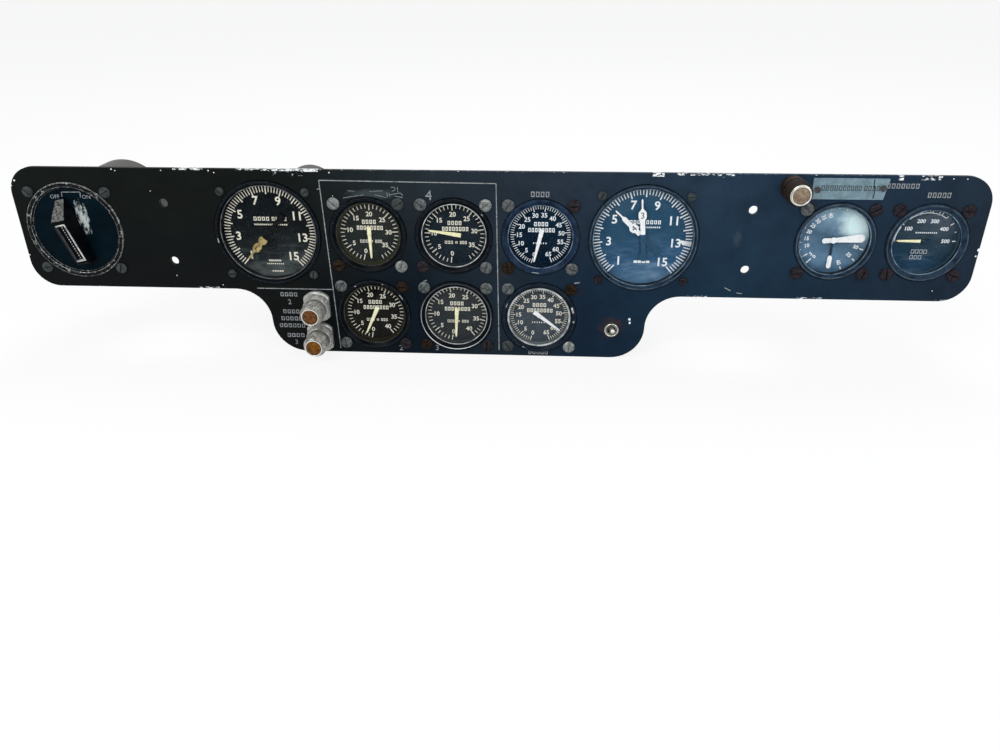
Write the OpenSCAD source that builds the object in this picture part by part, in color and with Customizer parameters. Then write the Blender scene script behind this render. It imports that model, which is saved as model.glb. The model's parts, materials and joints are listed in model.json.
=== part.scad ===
// Aircraft fuel control panel: one painted plate that carries a rotary selector, eight small and
// two large round indicators, three press-to-test lamps and a toggle switch.
// Millimetres. X runs right and Z up across the panel, and the front looks towards -Y. The origin is
// the centre of the four mounting holes, on the panel's rear face. A piece that faces front is drawn
// flat, with its third axis as the height over the panel's front face.

/* [Panel plate] */
// Thickness of the plate
plate_t = 3.2; // [2:0.1:5]
// Reach of the plate to the left of the mounting holes' centre
panel_left = 327; // [324:1:345]
// Reach of the plate to the right of the mounting holes' centre
panel_right = 375.3; // [371:0.1:395]
// Reach of the plate above the mounting holes' centre
panel_top = 47.7; // [47.4:0.1:60]
// Reach of the two wings below the mounting holes' centre
wing_drop = 44; // [42:0.5:46]
// Radius of the plate's outer corners
corner_r = 20; // [8:1:28]
// Width of the lobe that carries the lower row of instruments
lobe_w = 288; // [284:1:300]
// Depth of the lobe below the wings
lobe_drop = 51.5; // [50.5:0.5:60]
// Radius of the lobe's two corners and of the two hollows beside it
lobe_r = 25.2; // [14:0.1:25.2]
// Distance between the mounting holes, along the panel
mount_pitch_x = 427; // [424:1:430]
// Distance between the mounting holes, up the panel
mount_pitch_z = 44.45; // [38:0.05:50]
// Diameter of a mounting hole
mount_hole_d = 6.4; // [4:0.1:8]

/* [Instrument places] */
// Distance between the indicator columns
column_pitch = 63.5; // [62.5:0.1:65]
// Distance between the upper and the lower row
row_pitch = 63.5; // [62.5:0.1:65]
// Place of the selector along the panel
selector_x = -285.1; // [-286:0.1:-272]
// Height of the selector's centre
selector_z = 0.5; // [-1:0.1:1.5]
// Distance from the leftmost indicator column to the left flow indicator
flow_left_gap = 75; // [73.6:0.1:77]
// Distance from the rightmost indicator column to the right flow indicator
flow_right_gap = 74.5; // [73.6:0.1:79]
// Place of the belly tank gauge along the panel
belly_x = 274; // [270:0.5:276]
// Distance from the belly tank gauge to the pressure gauge
pressure_pitch = 63.8; // [62.5:0.1:65]
// Place of the two low fuel lamps along the panel
lamp_x = -107; // [-110:0.1:-106]
// Height of the upper low fuel lamp
lamp_upper_z = -56.9; // [-57.5:0.1:-55]
// Distance between the two low fuel lamps
lamp_pitch = 25.4; // [25.3:0.1:25.9]
// Place of the belly tank lamp along the panel
belly_lamp_x = 238; // [234:0.5:239]
// Height of the belly tank lamp
belly_lamp_z = 38.8; // [37:0.1:39]
// Place of the toggle switch along the panel
toggle_x = 118.8; // [116:0.1:122]
// Height of the toggle switch
toggle_z = -70.5; // [-76:0.5:-66]

/* [Small indicators] */
// Diameter of a small indicator's hole in the plate
small_hole_d = 57.8; // [57.2:0.1:58.4]
// Side of a small indicator's square flange
small_flange_w = 60.3; // [59:0.1:61.5]
// Side of the square on which its four screws stand
small_screw_pitch = 47.17; // [46:0.01:48]
// Diameter of its can
small_can_d = 56; // [54:0.5:58]
// Depth of its can behind the plate
small_depth = 72; // [60:1:78]
// Diameter of its clear window
small_window_d = 48; // [44:0.5:50]
// Diameter of the belly tank gauge's wider window
belly_window_d = 50.4; // [48:0.2:51]

/* [Flow indicators] */
// Diameter of a flow indicator's hole in the plate
flow_hole_d = 80; // [79.6:0.1:81]
// Side of a flow indicator's square flange
flow_flange_w = 82.5; // [80:0.5:83]
// Side of the square on which its four screws stand
flow_screw_pitch = 62.87; // [62:0.01:64]
// Diameter of the wide part of its can
flow_can_d = 78.4; // [74:0.5:79]
// Depth of the wide part behind the plate
flow_can_depth = 37; // [34:1:45]
// Diameter of the narrow rear part
flow_tail_d = 45; // [40:1:56]
// Depth of the left indicator's rear part behind the plate
flow_left_depth = 125; // [80:1:150]
// Depth of the right indicator's rear part behind the plate
flow_right_depth = 84; // [60:1:100]
// Diameter of the left indicator's clear window
flow_left_window_d = 72; // [70:0.5:73]
// Diameter of the right indicator's clear window
flow_right_window_d = 73; // [70:0.5:73]
// Reach of a flow indicator's hands
flow_reach = 28.6; // [26:0.2:30]

/* [Indicator build] */
// Thickness of an indicator's flange
flange_t = 4.8; // [3:0.1:7]
// Wall of an indicator's can
can_wall = 2; // [1:0.1:2.6]
// Width of a bezel's outer wall
bezel_wall = 2.1; // [1.4:0.1:2.3]
// Height of a bezel over the plate
bezel_rise = 1.4; // [0.8:0.1:3]
// Free gap between a bezel and its hole in the plate
bezel_gap = 0.6; // [0.3:0.1:1]
// Thickness of a glass
glass_t = 1.6; // [1:0.1:1.8]
// Depth of the front of a glass below the plate's front
glass_depth = 0.8; // [0.4:0.1:1]
// Depth of a dial below the plate's front
dial_depth = 5.6; // [5.4:0.1:8]
// Thickness of a dial
dial_t = 0.8; // [0.5:0.1:1.5]
// Length of a movement behind its dial
movement_len = 24; // [16:1:27]
// Thickness of a pointer
pointer_t = 0.5; // [0.3:0.05:0.6]
// Free height under and between the pointers
pointer_gap = 0.5; // [0.3:0.05:0.6]
// Diameter of a pointer's staff
staff_d = 1.6; // [1:0.1:2]

/* [Selector] */
// Diameter of the selector's hole in the plate
selector_hole_d = 66; // [65:0.2:67]
// Side of its square flange
selector_flange_w = 74; // [70:0.5:76]
// Side of the square on which its four screws stand
selector_screw_pitch = 58.2; // [57.6:0.1:60]
// Outer diameter of the rim
selector_rim_d = 73; // [70:0.1:73.6]
// Height of the rim over the plate
selector_rim_h = 1.2; // [0.9:0.1:2.4]
// Diameter of its can
selector_can_d = 67; // [66:0.5:71]
// Depth of its can behind the plate
selector_depth = 88; // [60:1:100]
// Width of the knob
knob_w = 10.8; // [10.2:0.1:14]
// Reach of the knob's pointing end
knob_reach = 24.5; // [22:0.5:26]
// Width of the knob's pointing end
knob_tip_w = 7; // [5:0.1:9]
// Distance from the knob's axis to its ridge
knob_ridge = 11; // [9:0.5:13]
// Reach of the knob's tail
knob_tail = 24.5; // [20:0.5:27]
// Height of the knob's ridge over the plate
knob_h = 16.4; // [14:0.1:20]
// Height of the knob's tail over the plate
knob_tail_h = 10.2; // [8:0.1:12]
// Turn of the knob to the left of straight up, at rest
knob_rest = 12.5; // [5:0.5:20]
// Diameter of the selector's shaft
selector_shaft_d = 8; // [6:0.1:8.4]

/* [Lamps and toggle] */
// Diameter of a lamp's socket
lamp_socket_d = 16; // [14:0.1:16.6]
// Depth of a lamp's socket behind the plate
lamp_depth = 34; // [20:1:45]
// Diameter of a low fuel lamp's flange
lamp_flange_d = 25; // [23:0.1:25.2]
// Distance between the two flats of that flange
lamp_flange_flats = 19.4; // [18:0.1:22]
// Thickness of that flange
lamp_flange_t = 3.6; // [2:0.1:5]
// Diameter of the belly tank lamp's slimmer socket
belly_socket_d = 14; // [13.2:0.1:15]
// Depth of the belly tank lamp's socket behind the plate's front
belly_socket_depth = 6.4; // [6:0.1:8]
// Diameter of the belly tank lamp's collar
belly_collar_d = 17; // [16.4:0.1:17.4]
// Height of a lamp's cap over the plate
lamp_cap_top = 23.5; // [20:0.5:28]
// Diameter of a lamp's cap
lamp_cap_d = 17.4; // [16.4:0.1:18]
// Diameter of a lamp's lens
lamp_lens_d = 11.4; // [9:0.1:11.8]
// Travel of a lamp's cap when it is pressed
lamp_travel = 1.6; // [0.8:0.1:2.4]
// Diameter of the toggle's threaded bushing
toggle_bushing_d = 8.5; // [7.5:0.1:9]
// Diameter of the round nut on the bushing
toggle_nut_d = 10.6; // [10.2:0.1:14]
// Height of that nut over the plate
toggle_nut_h = 5; // [3:0.1:6]
// Length of the lever over the plate
toggle_reach = 16; // [12:0.5:22]
// Tilt of the lever to either side
toggle_tilt = 13; // [6:0.5:14]

/* [Fasteners and plugs] */
// Diameter of a small indicator's screw head
small_head_d = 9; // [7:0.1:9.4]
// Diameter of a flow indicator's screw head
flow_head_d = 6.2; // [5:0.1:7]
// Diameter of a selector screw's head
selector_head_d = 8; // [7:0.1:8.2]
// Height of a screw head
head_h = 2.2; // [1.4:0.1:3]
// Diameter of an instrument screw
screw_d = 3.6; // [2.5:0.1:4]
// Width of a screw's slot
slot_w = 1.1; // [0.6:0.1:1.4]
// Diameter of a rear connector's shell
plug_d = 19; // [15:0.5:22]
// Length of a rear connector's shell
plug_len = 13; // [8:0.5:18]
// Width of the grey label plate
label_w = 51.6; // [40:0.1:53]
// Height of the grey label plate
label_h = 14.8; // [10:0.1:15]

/* [Hidden] */
$fn = 64;

// Clearances: loose seats, screw holes, and turning or sliding fits
fit = 0.3;
screw_gap = 0.25;
running_gap = 0.05;

// Places of the instruments as [x, z]
FUEL = [[-column_pitch, 0], [-column_pitch, -row_pitch], [0, -row_pitch], [0, 0]];
WATER = [[column_pitch, 0], [column_pitch, -row_pitch]];
QUANTITY = concat(FUEL, WATER);
BELLY = [belly_x, 0];
PRESSURE = [belly_x + pressure_pitch, 0];
FAR_GAUGES = [BELLY, PRESSURE];
FLOW_LEFT = [-column_pitch - flow_left_gap, 0];
FLOW_RIGHT = [column_pitch + flow_right_gap, 0];
FLOW = [FLOW_LEFT, FLOW_RIGHT];
SELECTOR = [selector_x, selector_z];
LAMP_UPPER = [lamp_x, lamp_upper_z];
LAMP_LOWER = [lamp_x, lamp_upper_z - lamp_pitch];
LAMP_BELLY = [belly_lamp_x, belly_lamp_z];
TOGGLE = [toggle_x, toggle_z];

// Where each pointer stands, in degrees clockwise from straight up
FUEL_REST = [179, 205, 183, 278];
WATER_REST = [193, 127];
FLOW_LEFT_REST = [222, 222];
FLOW_RIGHT_REST = [355, 313];
BELLY_REST = [85, 180];
PRESSURE_REST = 270;

// Turns of the screw slots, four to an instrument
SLOT_TURNS = [12, 75, 140, 33, 98, 160, 55, 5, 120, 84, 47, 170];

// Heights over the plate's front face
back = -plate_t;
flange_back = back - flange_t;
glass_back = -glass_depth - glass_t;
dial_back = -dial_depth - dial_t;
movement_back = dial_back - movement_len;

// Radii shared by the pieces of an indicator, from the radius of its bezel
small_bezel_r = small_hole_d / 2 - bezel_gap;
flow_bezel_r = flow_hole_d / 2 - bezel_gap;
bore_step = bezel_wall + 1.1;
shoulder_w = 2.6;

// Selector
selector_seat_t = 1.4;
selector_face_depth = 0.6;
selector_face_r = selector_hole_d / 2 - fit;
selector_bore_r = selector_face_r - 2.4;
selector_deck_depth = 23;
selector_deck_t = 3;
selector_boss_r = selector_shaft_d / 2 + 4;
selector_boss_h = 8;
wheel_r = 16;
wheel_t = 3;
wheel_notches = 12;
knob_lift = 0.8;
knob_edge = 0.7;
knob_tip_h = 2.6;
insert_w = knob_w - 2.4;
insert_wall = 1.1;
insert_sink = 1.6;
insert_rise = 0.2;

// Lamps
lamp_wall = 2;
lamp_barrel_top = 9;
lamp_grip_top = 8.4;
lamp_rim_w = 1;
lamp_stub_d = 8;
lamp_stub_len = 6;
lamp_nut_t = 1.8;
lens_depth = 3;

// Toggle
toggle_bore_r = toggle_bushing_d / 2 - 1;
toggle_body_w = 13.4;
toggle_body_h = 26;
toggle_body_depth = 21;
toggle_pivot = -1;
toggle_tip_r = 1.9;

// Puts a flat piece on the panel, its third axis as the height over the front face
module on_panel(place, turn = 0) {
    translate([place[0], -plate_t, place[1]])
        rotate([90, 0, 0])
            rotate([0, 0, turn])
                children();
}

// Draws its children at the four corners of a square
module at_corners(pitch) {
    for (x = [-0.5, 0.5], y = [-0.5, 0.5])
        translate([x * pitch, y * pitch, 0])
            children();
}

// A disc or a ring between two heights
module ring(low, high, outer, inner = 0) {
    translate([0, 0, low])
        difference() {
            cylinder(r = outer, h = high - low);
            if (inner > 0)
                translate([0, 0, -1])
                    cylinder(r = inner, h = high - low + 2);
        }
}

// A square with round corners, as a flat shape
module round_square(w, h, r) {
    union() {
        square([w - 2 * r, h], center = true);
        square([w, h - 2 * r], center = true);
        for (x = [-0.5, 0.5], y = [-0.5, 0.5])
            translate([x * (w - 2 * r), y * (h - 2 * r)])
                circle(r = r);
    }
}

// The plate's outline: two wings, and a lobe that joins them in an S at either side
module panel_outline() {
    wing_h = panel_top + wing_drop;
    lobe_h = lobe_drop + wing_h / 2;
    difference() {
        union() {
            translate([(panel_right - panel_left) / 2, (panel_top - wing_drop) / 2])
                round_square(panel_left + panel_right, wing_h, corner_r);
            translate([0, -wing_drop - lobe_drop + lobe_h / 2])
                round_square(lobe_w, lobe_h, lobe_r);
            for (side = [-1, 1])
                translate([side * (lobe_w + lobe_r) / 2, -wing_drop - lobe_r / 2 + 0.5])
                    square([lobe_r, lobe_r + 1], center = true);
        }
        for (side = [-1, 1])
            translate([side * (lobe_w / 2 + lobe_r), -wing_drop - lobe_r])
                circle(r = lobe_r);
    }
}

module panel_plate() {
    color("#1d2126")
        difference() {
            on_panel([0, 0])
                translate([0, 0, back])
                    linear_extrude(plate_t)
                        panel_outline();
            for (x = [-0.5, 0.5], z = [-0.5, 0.5])
                plate_hole([x * mount_pitch_x, z * mount_pitch_z], mount_hole_d / 2);
            for (place = concat(QUANTITY, FAR_GAUGES)) {
                plate_hole(place, small_hole_d / 2);
                plate_screw_holes(place, small_screw_pitch);
            }
            for (place = FLOW) {
                plate_hole(place, flow_hole_d / 2);
                plate_screw_holes(place, flow_screw_pitch);
            }
            plate_hole(SELECTOR, selector_hole_d / 2);
            plate_screw_holes(SELECTOR, selector_screw_pitch);
            for (place = [LAMP_UPPER, LAMP_LOWER])
                plate_hole(place, lamp_socket_d / 2 + fit);
            plate_hole(LAMP_BELLY, belly_socket_d / 2 + fit);
            plate_hole(TOGGLE, toggle_bushing_d / 2 + fit);
            for (place = LABEL_RIVETS)
                plate_hole(place, label_rivet_r + screw_gap);
        }
}

module plate_hole(place, r) {
    on_panel(place)
        translate([0, 0, back - 1])
            cylinder(r = r, h = plate_t + 2);
}

module plate_screw_holes(place, pitch) {
    on_panel(place)
        at_corners(pitch)
            translate([0, 0, back - 1])
                cylinder(r = screw_d / 2 + screw_gap, h = plate_t + 2, $fn = 32);
}

// A slotted screw with a domed head, its head on the plate
module slotted_screw(head_d, turn) {
    difference() {
        union() {
            cylinder(r = head_d / 2, h = head_h * 0.55, $fn = 32);
            translate([0, 0, head_h * 0.55])
                cylinder(r1 = head_d / 2, r2 = head_d * 0.36, h = head_h * 0.45, $fn = 32);
            translate([0, 0, flange_back - 2])
                cylinder(r = screw_d / 2, h = 2 - flange_back, $fn = 32);
        }
        rotate([0, 0, turn])
            translate([-head_d, -slot_w / 2, head_h * 0.5])
                cube([2 * head_d, slot_w, head_h]);
    }
}

module screws_at(places, pitch, head_d) {
    for (i = [0 : len(places) - 1], k = [0 : 3])
        on_panel(places[i])
            translate([(k % 2 - 0.5) * pitch, (floor(k / 2) - 0.5) * pitch, 0])
                slotted_screw(head_d, SLOT_TURNS[(4 * i + k) % len(SLOT_TURNS)]);
}

module gauge_screws() {
    color("#6f6a60")
        screws_at(concat(QUANTITY, FAR_GAUGES), small_screw_pitch, small_head_d);
}

module flow_gauge_screws() {
    color("#34363a")
        screws_at(FLOW, flow_screw_pitch, flow_head_d);
}

module selector_screws() {
    color("#5c5d58")
        screws_at([SELECTOR], selector_screw_pitch, selector_head_d);
}

// The grey label plate stands over the belly tank gauge
label_t = 0.8;
label_centre = [belly_x + 3.2, (panel_top + small_hole_d / 2) / 2];
label_slant = 2.2;
label_rivet_r = 1.2;
LABEL_RIVETS = [[label_centre[0] - label_w / 2 + 3.6, label_centre[1] - 0.8],
    [label_centre[0] + label_w / 2 - 3.6, label_centre[1] + 0.7]];

// Its right end slants in towards the bottom
module label_outline() {
    corner = 0.8;
    left = corner - label_w / 2;
    up = label_h / 2 - corner;
    hull()
        for (at = [[left, up], [left, -up], [-left, up], [-left - label_slant, -up]])
            translate(at)
                circle(r = corner);
}

module label_plate() {
    color("#8d99a3")
        difference() {
            on_panel(label_centre)
                linear_extrude(label_t)
                    label_outline();
            for (place = LABEL_RIVETS)
                plate_hole(place, label_rivet_r + screw_gap);
        }
}

module label_plate_rivets() {
    color("#b9bcbd")
        for (place = LABEL_RIVETS)
            on_panel(place) {
                ring(label_t, label_t + 0.9, 2.1);
                ring(back - 0.8, label_t, label_rivet_r);
                ring(back - 0.8, back, 1.8);
            }
}

// One piece of each indicator: its bezel, glass, case, dial and movement
module bezel(r, window_r) {
    edge = 0.6;
    bore = r - bezel_wall;
    rotate_extrude($fn = 96)
        polygon([[r, back], [r, bezel_rise - edge], [r - edge, bezel_rise],
            [r - bezel_wall + 0.4, bezel_rise], [window_r, 0.2 - glass_depth],
            [window_r, -glass_depth], [bore, -glass_depth], [bore, back]]);
}

module glass(r) {
    ring(glass_back, -glass_depth, r - bezel_wall - fit);
}

module case_body(r, can_r, can_depth, tail_r, tail_depth, flange_w, flange_r, pitch) {
    lip_r = r - bezel_wall - fit;
    bore_r = r - bore_step;
    end = back - max(can_depth, tail_depth);
    difference() {
        union() {
            translate([0, 0, flange_back])
                linear_extrude(flange_t)
                    round_square(flange_w, flange_w, flange_r);
            ring(back - 0.5, glass_back, lip_r);
            ring(back - can_depth + 1.5, flange_back + 0.5, can_r);
            translate([0, 0, back - can_depth])
                cylinder(r1 = can_r - 1.5, r2 = can_r, h = 1.5);
            if (tail_depth > can_depth) {
                ring(end + 1.5, back - can_depth + 0.5, tail_r);
                translate([0, 0, end])
                    cylinder(r1 = tail_r - 1.5, r2 = tail_r, h = 1.5);
            }
        }
        ring(movement_back, 1, bore_r);
        ring(back - can_depth + can_wall, movement_back + 1, bore_r - shoulder_w);
        if (tail_depth > can_depth)
            ring(end + can_wall, back - can_depth + can_wall + 1, tail_r - can_wall);
        at_corners(pitch)
            translate([0, 0, flange_back - 1])
                cylinder(r = screw_d / 2 + screw_gap, h = flange_t + 2, $fn = 32);
    }
}

module small_case() {
    case_body(small_bezel_r, small_can_d / 2, small_depth, 0, 0, small_flange_w, 7,
        small_screw_pitch);
}

module flow_case(depth) {
    case_body(flow_bezel_r, flow_can_d / 2, flow_can_depth, flow_tail_d / 2, depth, flow_flange_w,
        12, flow_screw_pitch);
}

module dial(r, eye_r) {
    ring(dial_back, -dial_depth, r - bore_step - running_gap, eye_r);
}

// The movement fills the bore behind the dial and holds the staffs in its bearing
module movement(r, sleeve_r) {
    difference() {
        ring(movement_back, dial_back, r - bore_step - running_gap);
        ring(dial_back - 14, dial_back + 1, staff_d / 2 + running_gap);
        if (sleeve_r > 0)
            ring(dial_back - 8, dial_back + 1, sleeve_r + running_gap);
    }
}

module flow_left_case() {
    color("#55534c")
        on_panel(FLOW_LEFT)
            flow_case(flow_left_depth);
}

module flow_right_case() {
    color("#2b2d30")
        on_panel(FLOW_RIGHT)
            flow_case(flow_right_depth);
}

module flow_bezels() {
    color("#17191c") {
        on_panel(FLOW_LEFT)
            bezel(flow_bezel_r, flow_left_window_d / 2);
        on_panel(FLOW_RIGHT)
            bezel(flow_bezel_r, flow_right_window_d / 2);
    }
}

module flow_glasses() {
    color("#c8d4da", 0.3)
        for (place = FLOW)
            on_panel(place)
                glass(flow_bezel_r);
}

module flow_left_dial() {
    color("#20242a")
        on_panel(FLOW_LEFT)
            dial(flow_bezel_r, sleeve_d / 2 + 0.5);
}

module flow_right_dial() {
    color("#2a4a78")
        on_panel(FLOW_RIGHT)
            dial(flow_bezel_r, sleeve_d / 2 + 0.5);
}

module flow_movements() {
    color("#9a9c9a")
        for (place = FLOW)
            on_panel(place)
                movement(flow_bezel_r, sleeve_d / 2);
}

module quantity_cases() {
    color("#26282b")
        for (place = QUANTITY)
            on_panel(place)
                small_case();
}

module pressure_cases() {
    color("#303234")
        for (place = FAR_GAUGES)
            on_panel(place)
                small_case();
}

module quantity_bezels() {
    color("#141619")
        for (place = QUANTITY)
            on_panel(place)
                bezel(small_bezel_r, small_window_d / 2);
}

module pressure_bezels() {
    color("#141619") {
        on_panel(BELLY)
            bezel(small_bezel_r, belly_window_d / 2);
        on_panel(PRESSURE)
            bezel(small_bezel_r, small_window_d / 2);
    }
}

module quantity_glasses() {
    color("#c8d4da", 0.3)
        for (place = QUANTITY)
            on_panel(place)
                glass(small_bezel_r);
}

module pressure_glasses() {
    color("#c8d4da", 0.3)
        for (place = FAR_GAUGES)
            on_panel(place)
                glass(small_bezel_r);
}

module fuel_dials() {
    color("#16181b")
        for (place = FUEL)
            on_panel(place)
                dial(small_bezel_r, staff_d / 2 + 0.5);
}

module water_dials() {
    color("#16181b")
        for (place = WATER)
            on_panel(place)
                dial(small_bezel_r, staff_d / 2 + 0.5);
}

module belly_dial() {
    color("#16181b")
        on_panel(BELLY)
            dial(small_bezel_r, sleeve_d / 2 + 0.5);
}

module pressure_dial() {
    color("#16181b")
        on_panel(PRESSURE)
            dial(small_bezel_r, staff_d / 2 + 0.5);
}

module quantity_movements() {
    color("#9a9c9a")
        for (place = QUANTITY)
            on_panel(place)
                movement(small_bezel_r, 0);
}

module pressure_movements() {
    color("#9a9c9a") {
        on_panel(BELLY)
            movement(small_bezel_r, sleeve_d / 2);
        on_panel(PRESSURE)
            movement(small_bezel_r, 0);
    }
}

// Pointers: a flat hand on a hub, drawn pointing up, on a staff that runs in the movement. Where two
// share an axis, the lower hand rides on a sleeve and the upper hand's staff runs inside it.
sleeve_d = staff_d + 1.6;
pointer_low = -dial_depth + pointer_gap;
pointer_high = pointer_low + pointer_t + pointer_gap;
small_reach = small_window_d / 2 - 4.2;

module tapered_hand(reach, tail, root_w, tip_w) {
    polygon([[-root_w / 2, -tail], [-tip_w / 2, reach - tip_w], [0, reach], [tip_w / 2, reach - tip_w],
        [root_w / 2, -tail]]);
}

module upper_staff() {
    ring(dial_back - 13.5, pointer_high + pointer_t / 2, staff_d / 2);
}

module sleeve(hub_r) {
    difference() {
        union() {
            ring(dial_back - 7.5, pointer_low + pointer_t / 2, sleeve_d / 2);
            ring(pointer_low, pointer_low + pointer_t, hub_r);
        }
        ring(dial_back - 9, pointer_high, staff_d / 2 + running_gap);
    }
}

module single_pointer(reach, tail, root_w, hub_r) {
    union() {
        translate([0, 0, pointer_low])
            linear_extrude(pointer_t)
                tapered_hand(reach, tail, root_w, 1.3);
        ring(pointer_low, pointer_low + pointer_t + 0.6, hub_r);
        ring(dial_back - 13.5, pointer_low + pointer_t / 2, staff_d / 2);
    }
}

// A flow hand: a straight shaft with a narrow tip, a round or long disc that carries its number, and a
// round balance weight behind
flow_shaft_w = 3.4;
flow_tip_w = 1.2;
flow_tip_len = 7;
flow_weight_r = 3;
weight_at = 15;
upper_disc_at = flow_reach - 12.2;
lower_disc_at = upper_disc_at - 7;

module flow_hand(disc_at, disc_r, disc_len) {
    shaft_end = flow_reach - flow_tip_len;
    union() {
        polygon([[-flow_shaft_w / 2, -weight_at], [-flow_shaft_w / 2, shaft_end - 2],
            [-flow_tip_w / 2, shaft_end], [-flow_tip_w / 2, flow_reach - 1], [0, flow_reach],
            [flow_tip_w / 2, flow_reach - 1], [flow_tip_w / 2, shaft_end],
            [flow_shaft_w / 2, shaft_end - 2], [flow_shaft_w / 2, -weight_at]]);
        hull()
            for (end = [-0.5, 0.5])
                translate([0, disc_at + end * (disc_len - 2 * disc_r)])
                    circle(r = disc_r);
        translate([0, -weight_at])
            circle(r = flow_weight_r);
    }
}

module flow_pointer_upper() {
    union() {
        translate([0, 0, pointer_high])
            linear_extrude(pointer_t)
                flow_hand(upper_disc_at, 2.9, 8);
        ring(pointer_high, pointer_high + pointer_t + 0.4, 2.4);
        upper_staff();
    }
}

module flow_pointer_lower() {
    difference() {
        union() {
            translate([0, 0, pointer_low])
                linear_extrude(pointer_t)
                    flow_hand(lower_disc_at, 3.2, 6.8);
            sleeve(2.6);
        }
        ring(dial_back - 9, pointer_high, staff_d / 2 + running_gap);
    }
}

module flow_left_pointer_3() {
    color("#d9c189")
        on_panel(FLOW_LEFT, -FLOW_LEFT_REST[0])
            flow_pointer_upper();
}

module flow_left_pointer_4() {
    color("#d9c189")
        on_panel(FLOW_LEFT, -FLOW_LEFT_REST[1])
            flow_pointer_lower();
}

module flow_right_pointer_3() {
    color("#ece9dd")
        on_panel(FLOW_RIGHT, -FLOW_RIGHT_REST[0])
            flow_pointer_upper();
}

module flow_right_pointer_4() {
    color("#ece9dd")
        on_panel(FLOW_RIGHT, -FLOW_RIGHT_REST[1])
            flow_pointer_lower();
}

module fuel_pointer(i) {
    color("#e6e2d2")
        on_panel(FUEL[i], -FUEL_REST[i])
            single_pointer(small_reach, 4.8, 3.2, 1.5);
}

module fuel_pointer_1() {
    fuel_pointer(0);
}

module fuel_pointer_2() {
    fuel_pointer(1);
}

module fuel_pointer_3() {
    fuel_pointer(2);
}

module fuel_pointer_4() {
    fuel_pointer(3);
}

module water_pointer_left() {
    color("#e6e2d2")
        on_panel(WATER[0], -WATER_REST[0])
            single_pointer(small_reach + 1.4, 4.8, 3.4, 1.6);
}

module water_pointer_right() {
    color("#e6e2d2")
        on_panel(WATER[1], -WATER_REST[1])
            single_pointer(small_reach + 1.4, 4.8, 3.4, 1.6);
}

// The long hand of the belly tank gauge: a paddle that widens towards its round end
module paddle_hand(reach, tail, root_w, end_w) {
    hull() {
        translate([0, reach - end_w / 2])
            circle(r = end_w / 2);
        translate([-root_w / 2, 0])
            square([root_w, 0.1]);
    }
    hull() {
        translate([-root_w / 2, -0.1])
            square([root_w, 0.2]);
        translate([0, root_w / 2 + 0.4 - tail])
            circle(r = root_w / 2 + 0.4);
    }
}

// Its short hand: a thin stem that ends in a long rounded bar
module bar_hand(reach, bar_len, bar_w, stem_w) {
    translate([-stem_w / 2, 0])
        square([stem_w, reach - bar_len + 1]);
    hull()
        for (end = [reach - bar_w / 2, reach - bar_len + bar_w / 2])
            translate([0, end])
                circle(r = bar_w / 2);
}

module belly_pointer_long() {
    color("#e6e2d2")
        on_panel(BELLY, -BELLY_REST[0])
            union() {
                translate([0, 0, pointer_high])
                    linear_extrude(pointer_t)
                        paddle_hand(small_reach + 2.2, 8, 3, 6);
                ring(pointer_high, pointer_high + pointer_t + 0.4, 2.2);
                upper_staff();
            }
}

module belly_pointer_short() {
    color("#e6e2d2")
        on_panel(BELLY, -BELLY_REST[1])
            difference() {
                union() {
                    translate([0, 0, pointer_low])
                        linear_extrude(pointer_t)
                            bar_hand(small_reach + 1.7, 9.5, 3.2, 1.4);
                    sleeve(2.4);
                }
                ring(dial_back - 9, pointer_high, staff_d / 2 + running_gap);
            }
}

module pressure_pointer() {
    color("#e6e2d2")
        on_panel(PRESSURE, -PRESSURE_REST)
            single_pointer(small_reach - 0.4, 5, 2.6, 1.3);
}

// A round connector: a flat square foot on the case's end, a collar and a smooth shell
module connector() {
    foot_t = 2.4;
    collar_t = 3;
    translate([0, 0, -foot_t])
        linear_extrude(foot_t)
            round_square(plug_d + 6, plug_d + 6, 3);
    ring(-foot_t - collar_t, -foot_t + 0.2, plug_d / 2 + 1.2);
    ring(-foot_t - collar_t - plug_len, -foot_t - collar_t + 0.2, plug_d / 2);
}

module rear_connectors() {
    color("#8f8a6a")
        union() {
            for (place = concat(QUANTITY, FAR_GAUGES))
                on_panel(place)
                    translate([0, 0, back - small_depth])
                        connector();
            on_panel(FLOW_LEFT)
                translate([0, 0, back - flow_left_depth])
                    connector();
            on_panel(FLOW_RIGHT)
                translate([0, 0, back - flow_right_depth])
                    connector();
            on_panel(SELECTOR)
                translate([0, 0, back - selector_depth])
                    connector();
        }
}

// Selector: a can behind the plate, a rim and a sunk face in front, a shaft with its notched wheel
module selector_housing() {
    seat = -selector_face_depth - selector_seat_t;
    deck_back = back - selector_deck_depth;
    color("#4d4c46")
        on_panel(SELECTOR)
            difference() {
                union() {
                    translate([0, 0, flange_back])
                        linear_extrude(flange_t)
                            round_square(selector_flange_w, selector_flange_w, 9);
                    ring(back - 0.5, seat, selector_face_r);
                    ring(back - selector_depth + 2.5, flange_back + 0.5, selector_can_d / 2);
                    translate([0, 0, back - selector_depth])
                        cylinder(r1 = selector_can_d / 2 - 2.5, r2 = selector_can_d / 2, h = 2.5);
                }
                ring(deck_back, 1, selector_bore_r);
                ring(back - selector_depth + can_wall, deck_back + 1, selector_bore_r - 2);
                at_corners(selector_screw_pitch)
                    translate([0, 0, flange_back - 1])
                        cylinder(r = screw_d / 2 + screw_gap, h = flange_t + 2, $fn = 32);
            }
}

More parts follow.
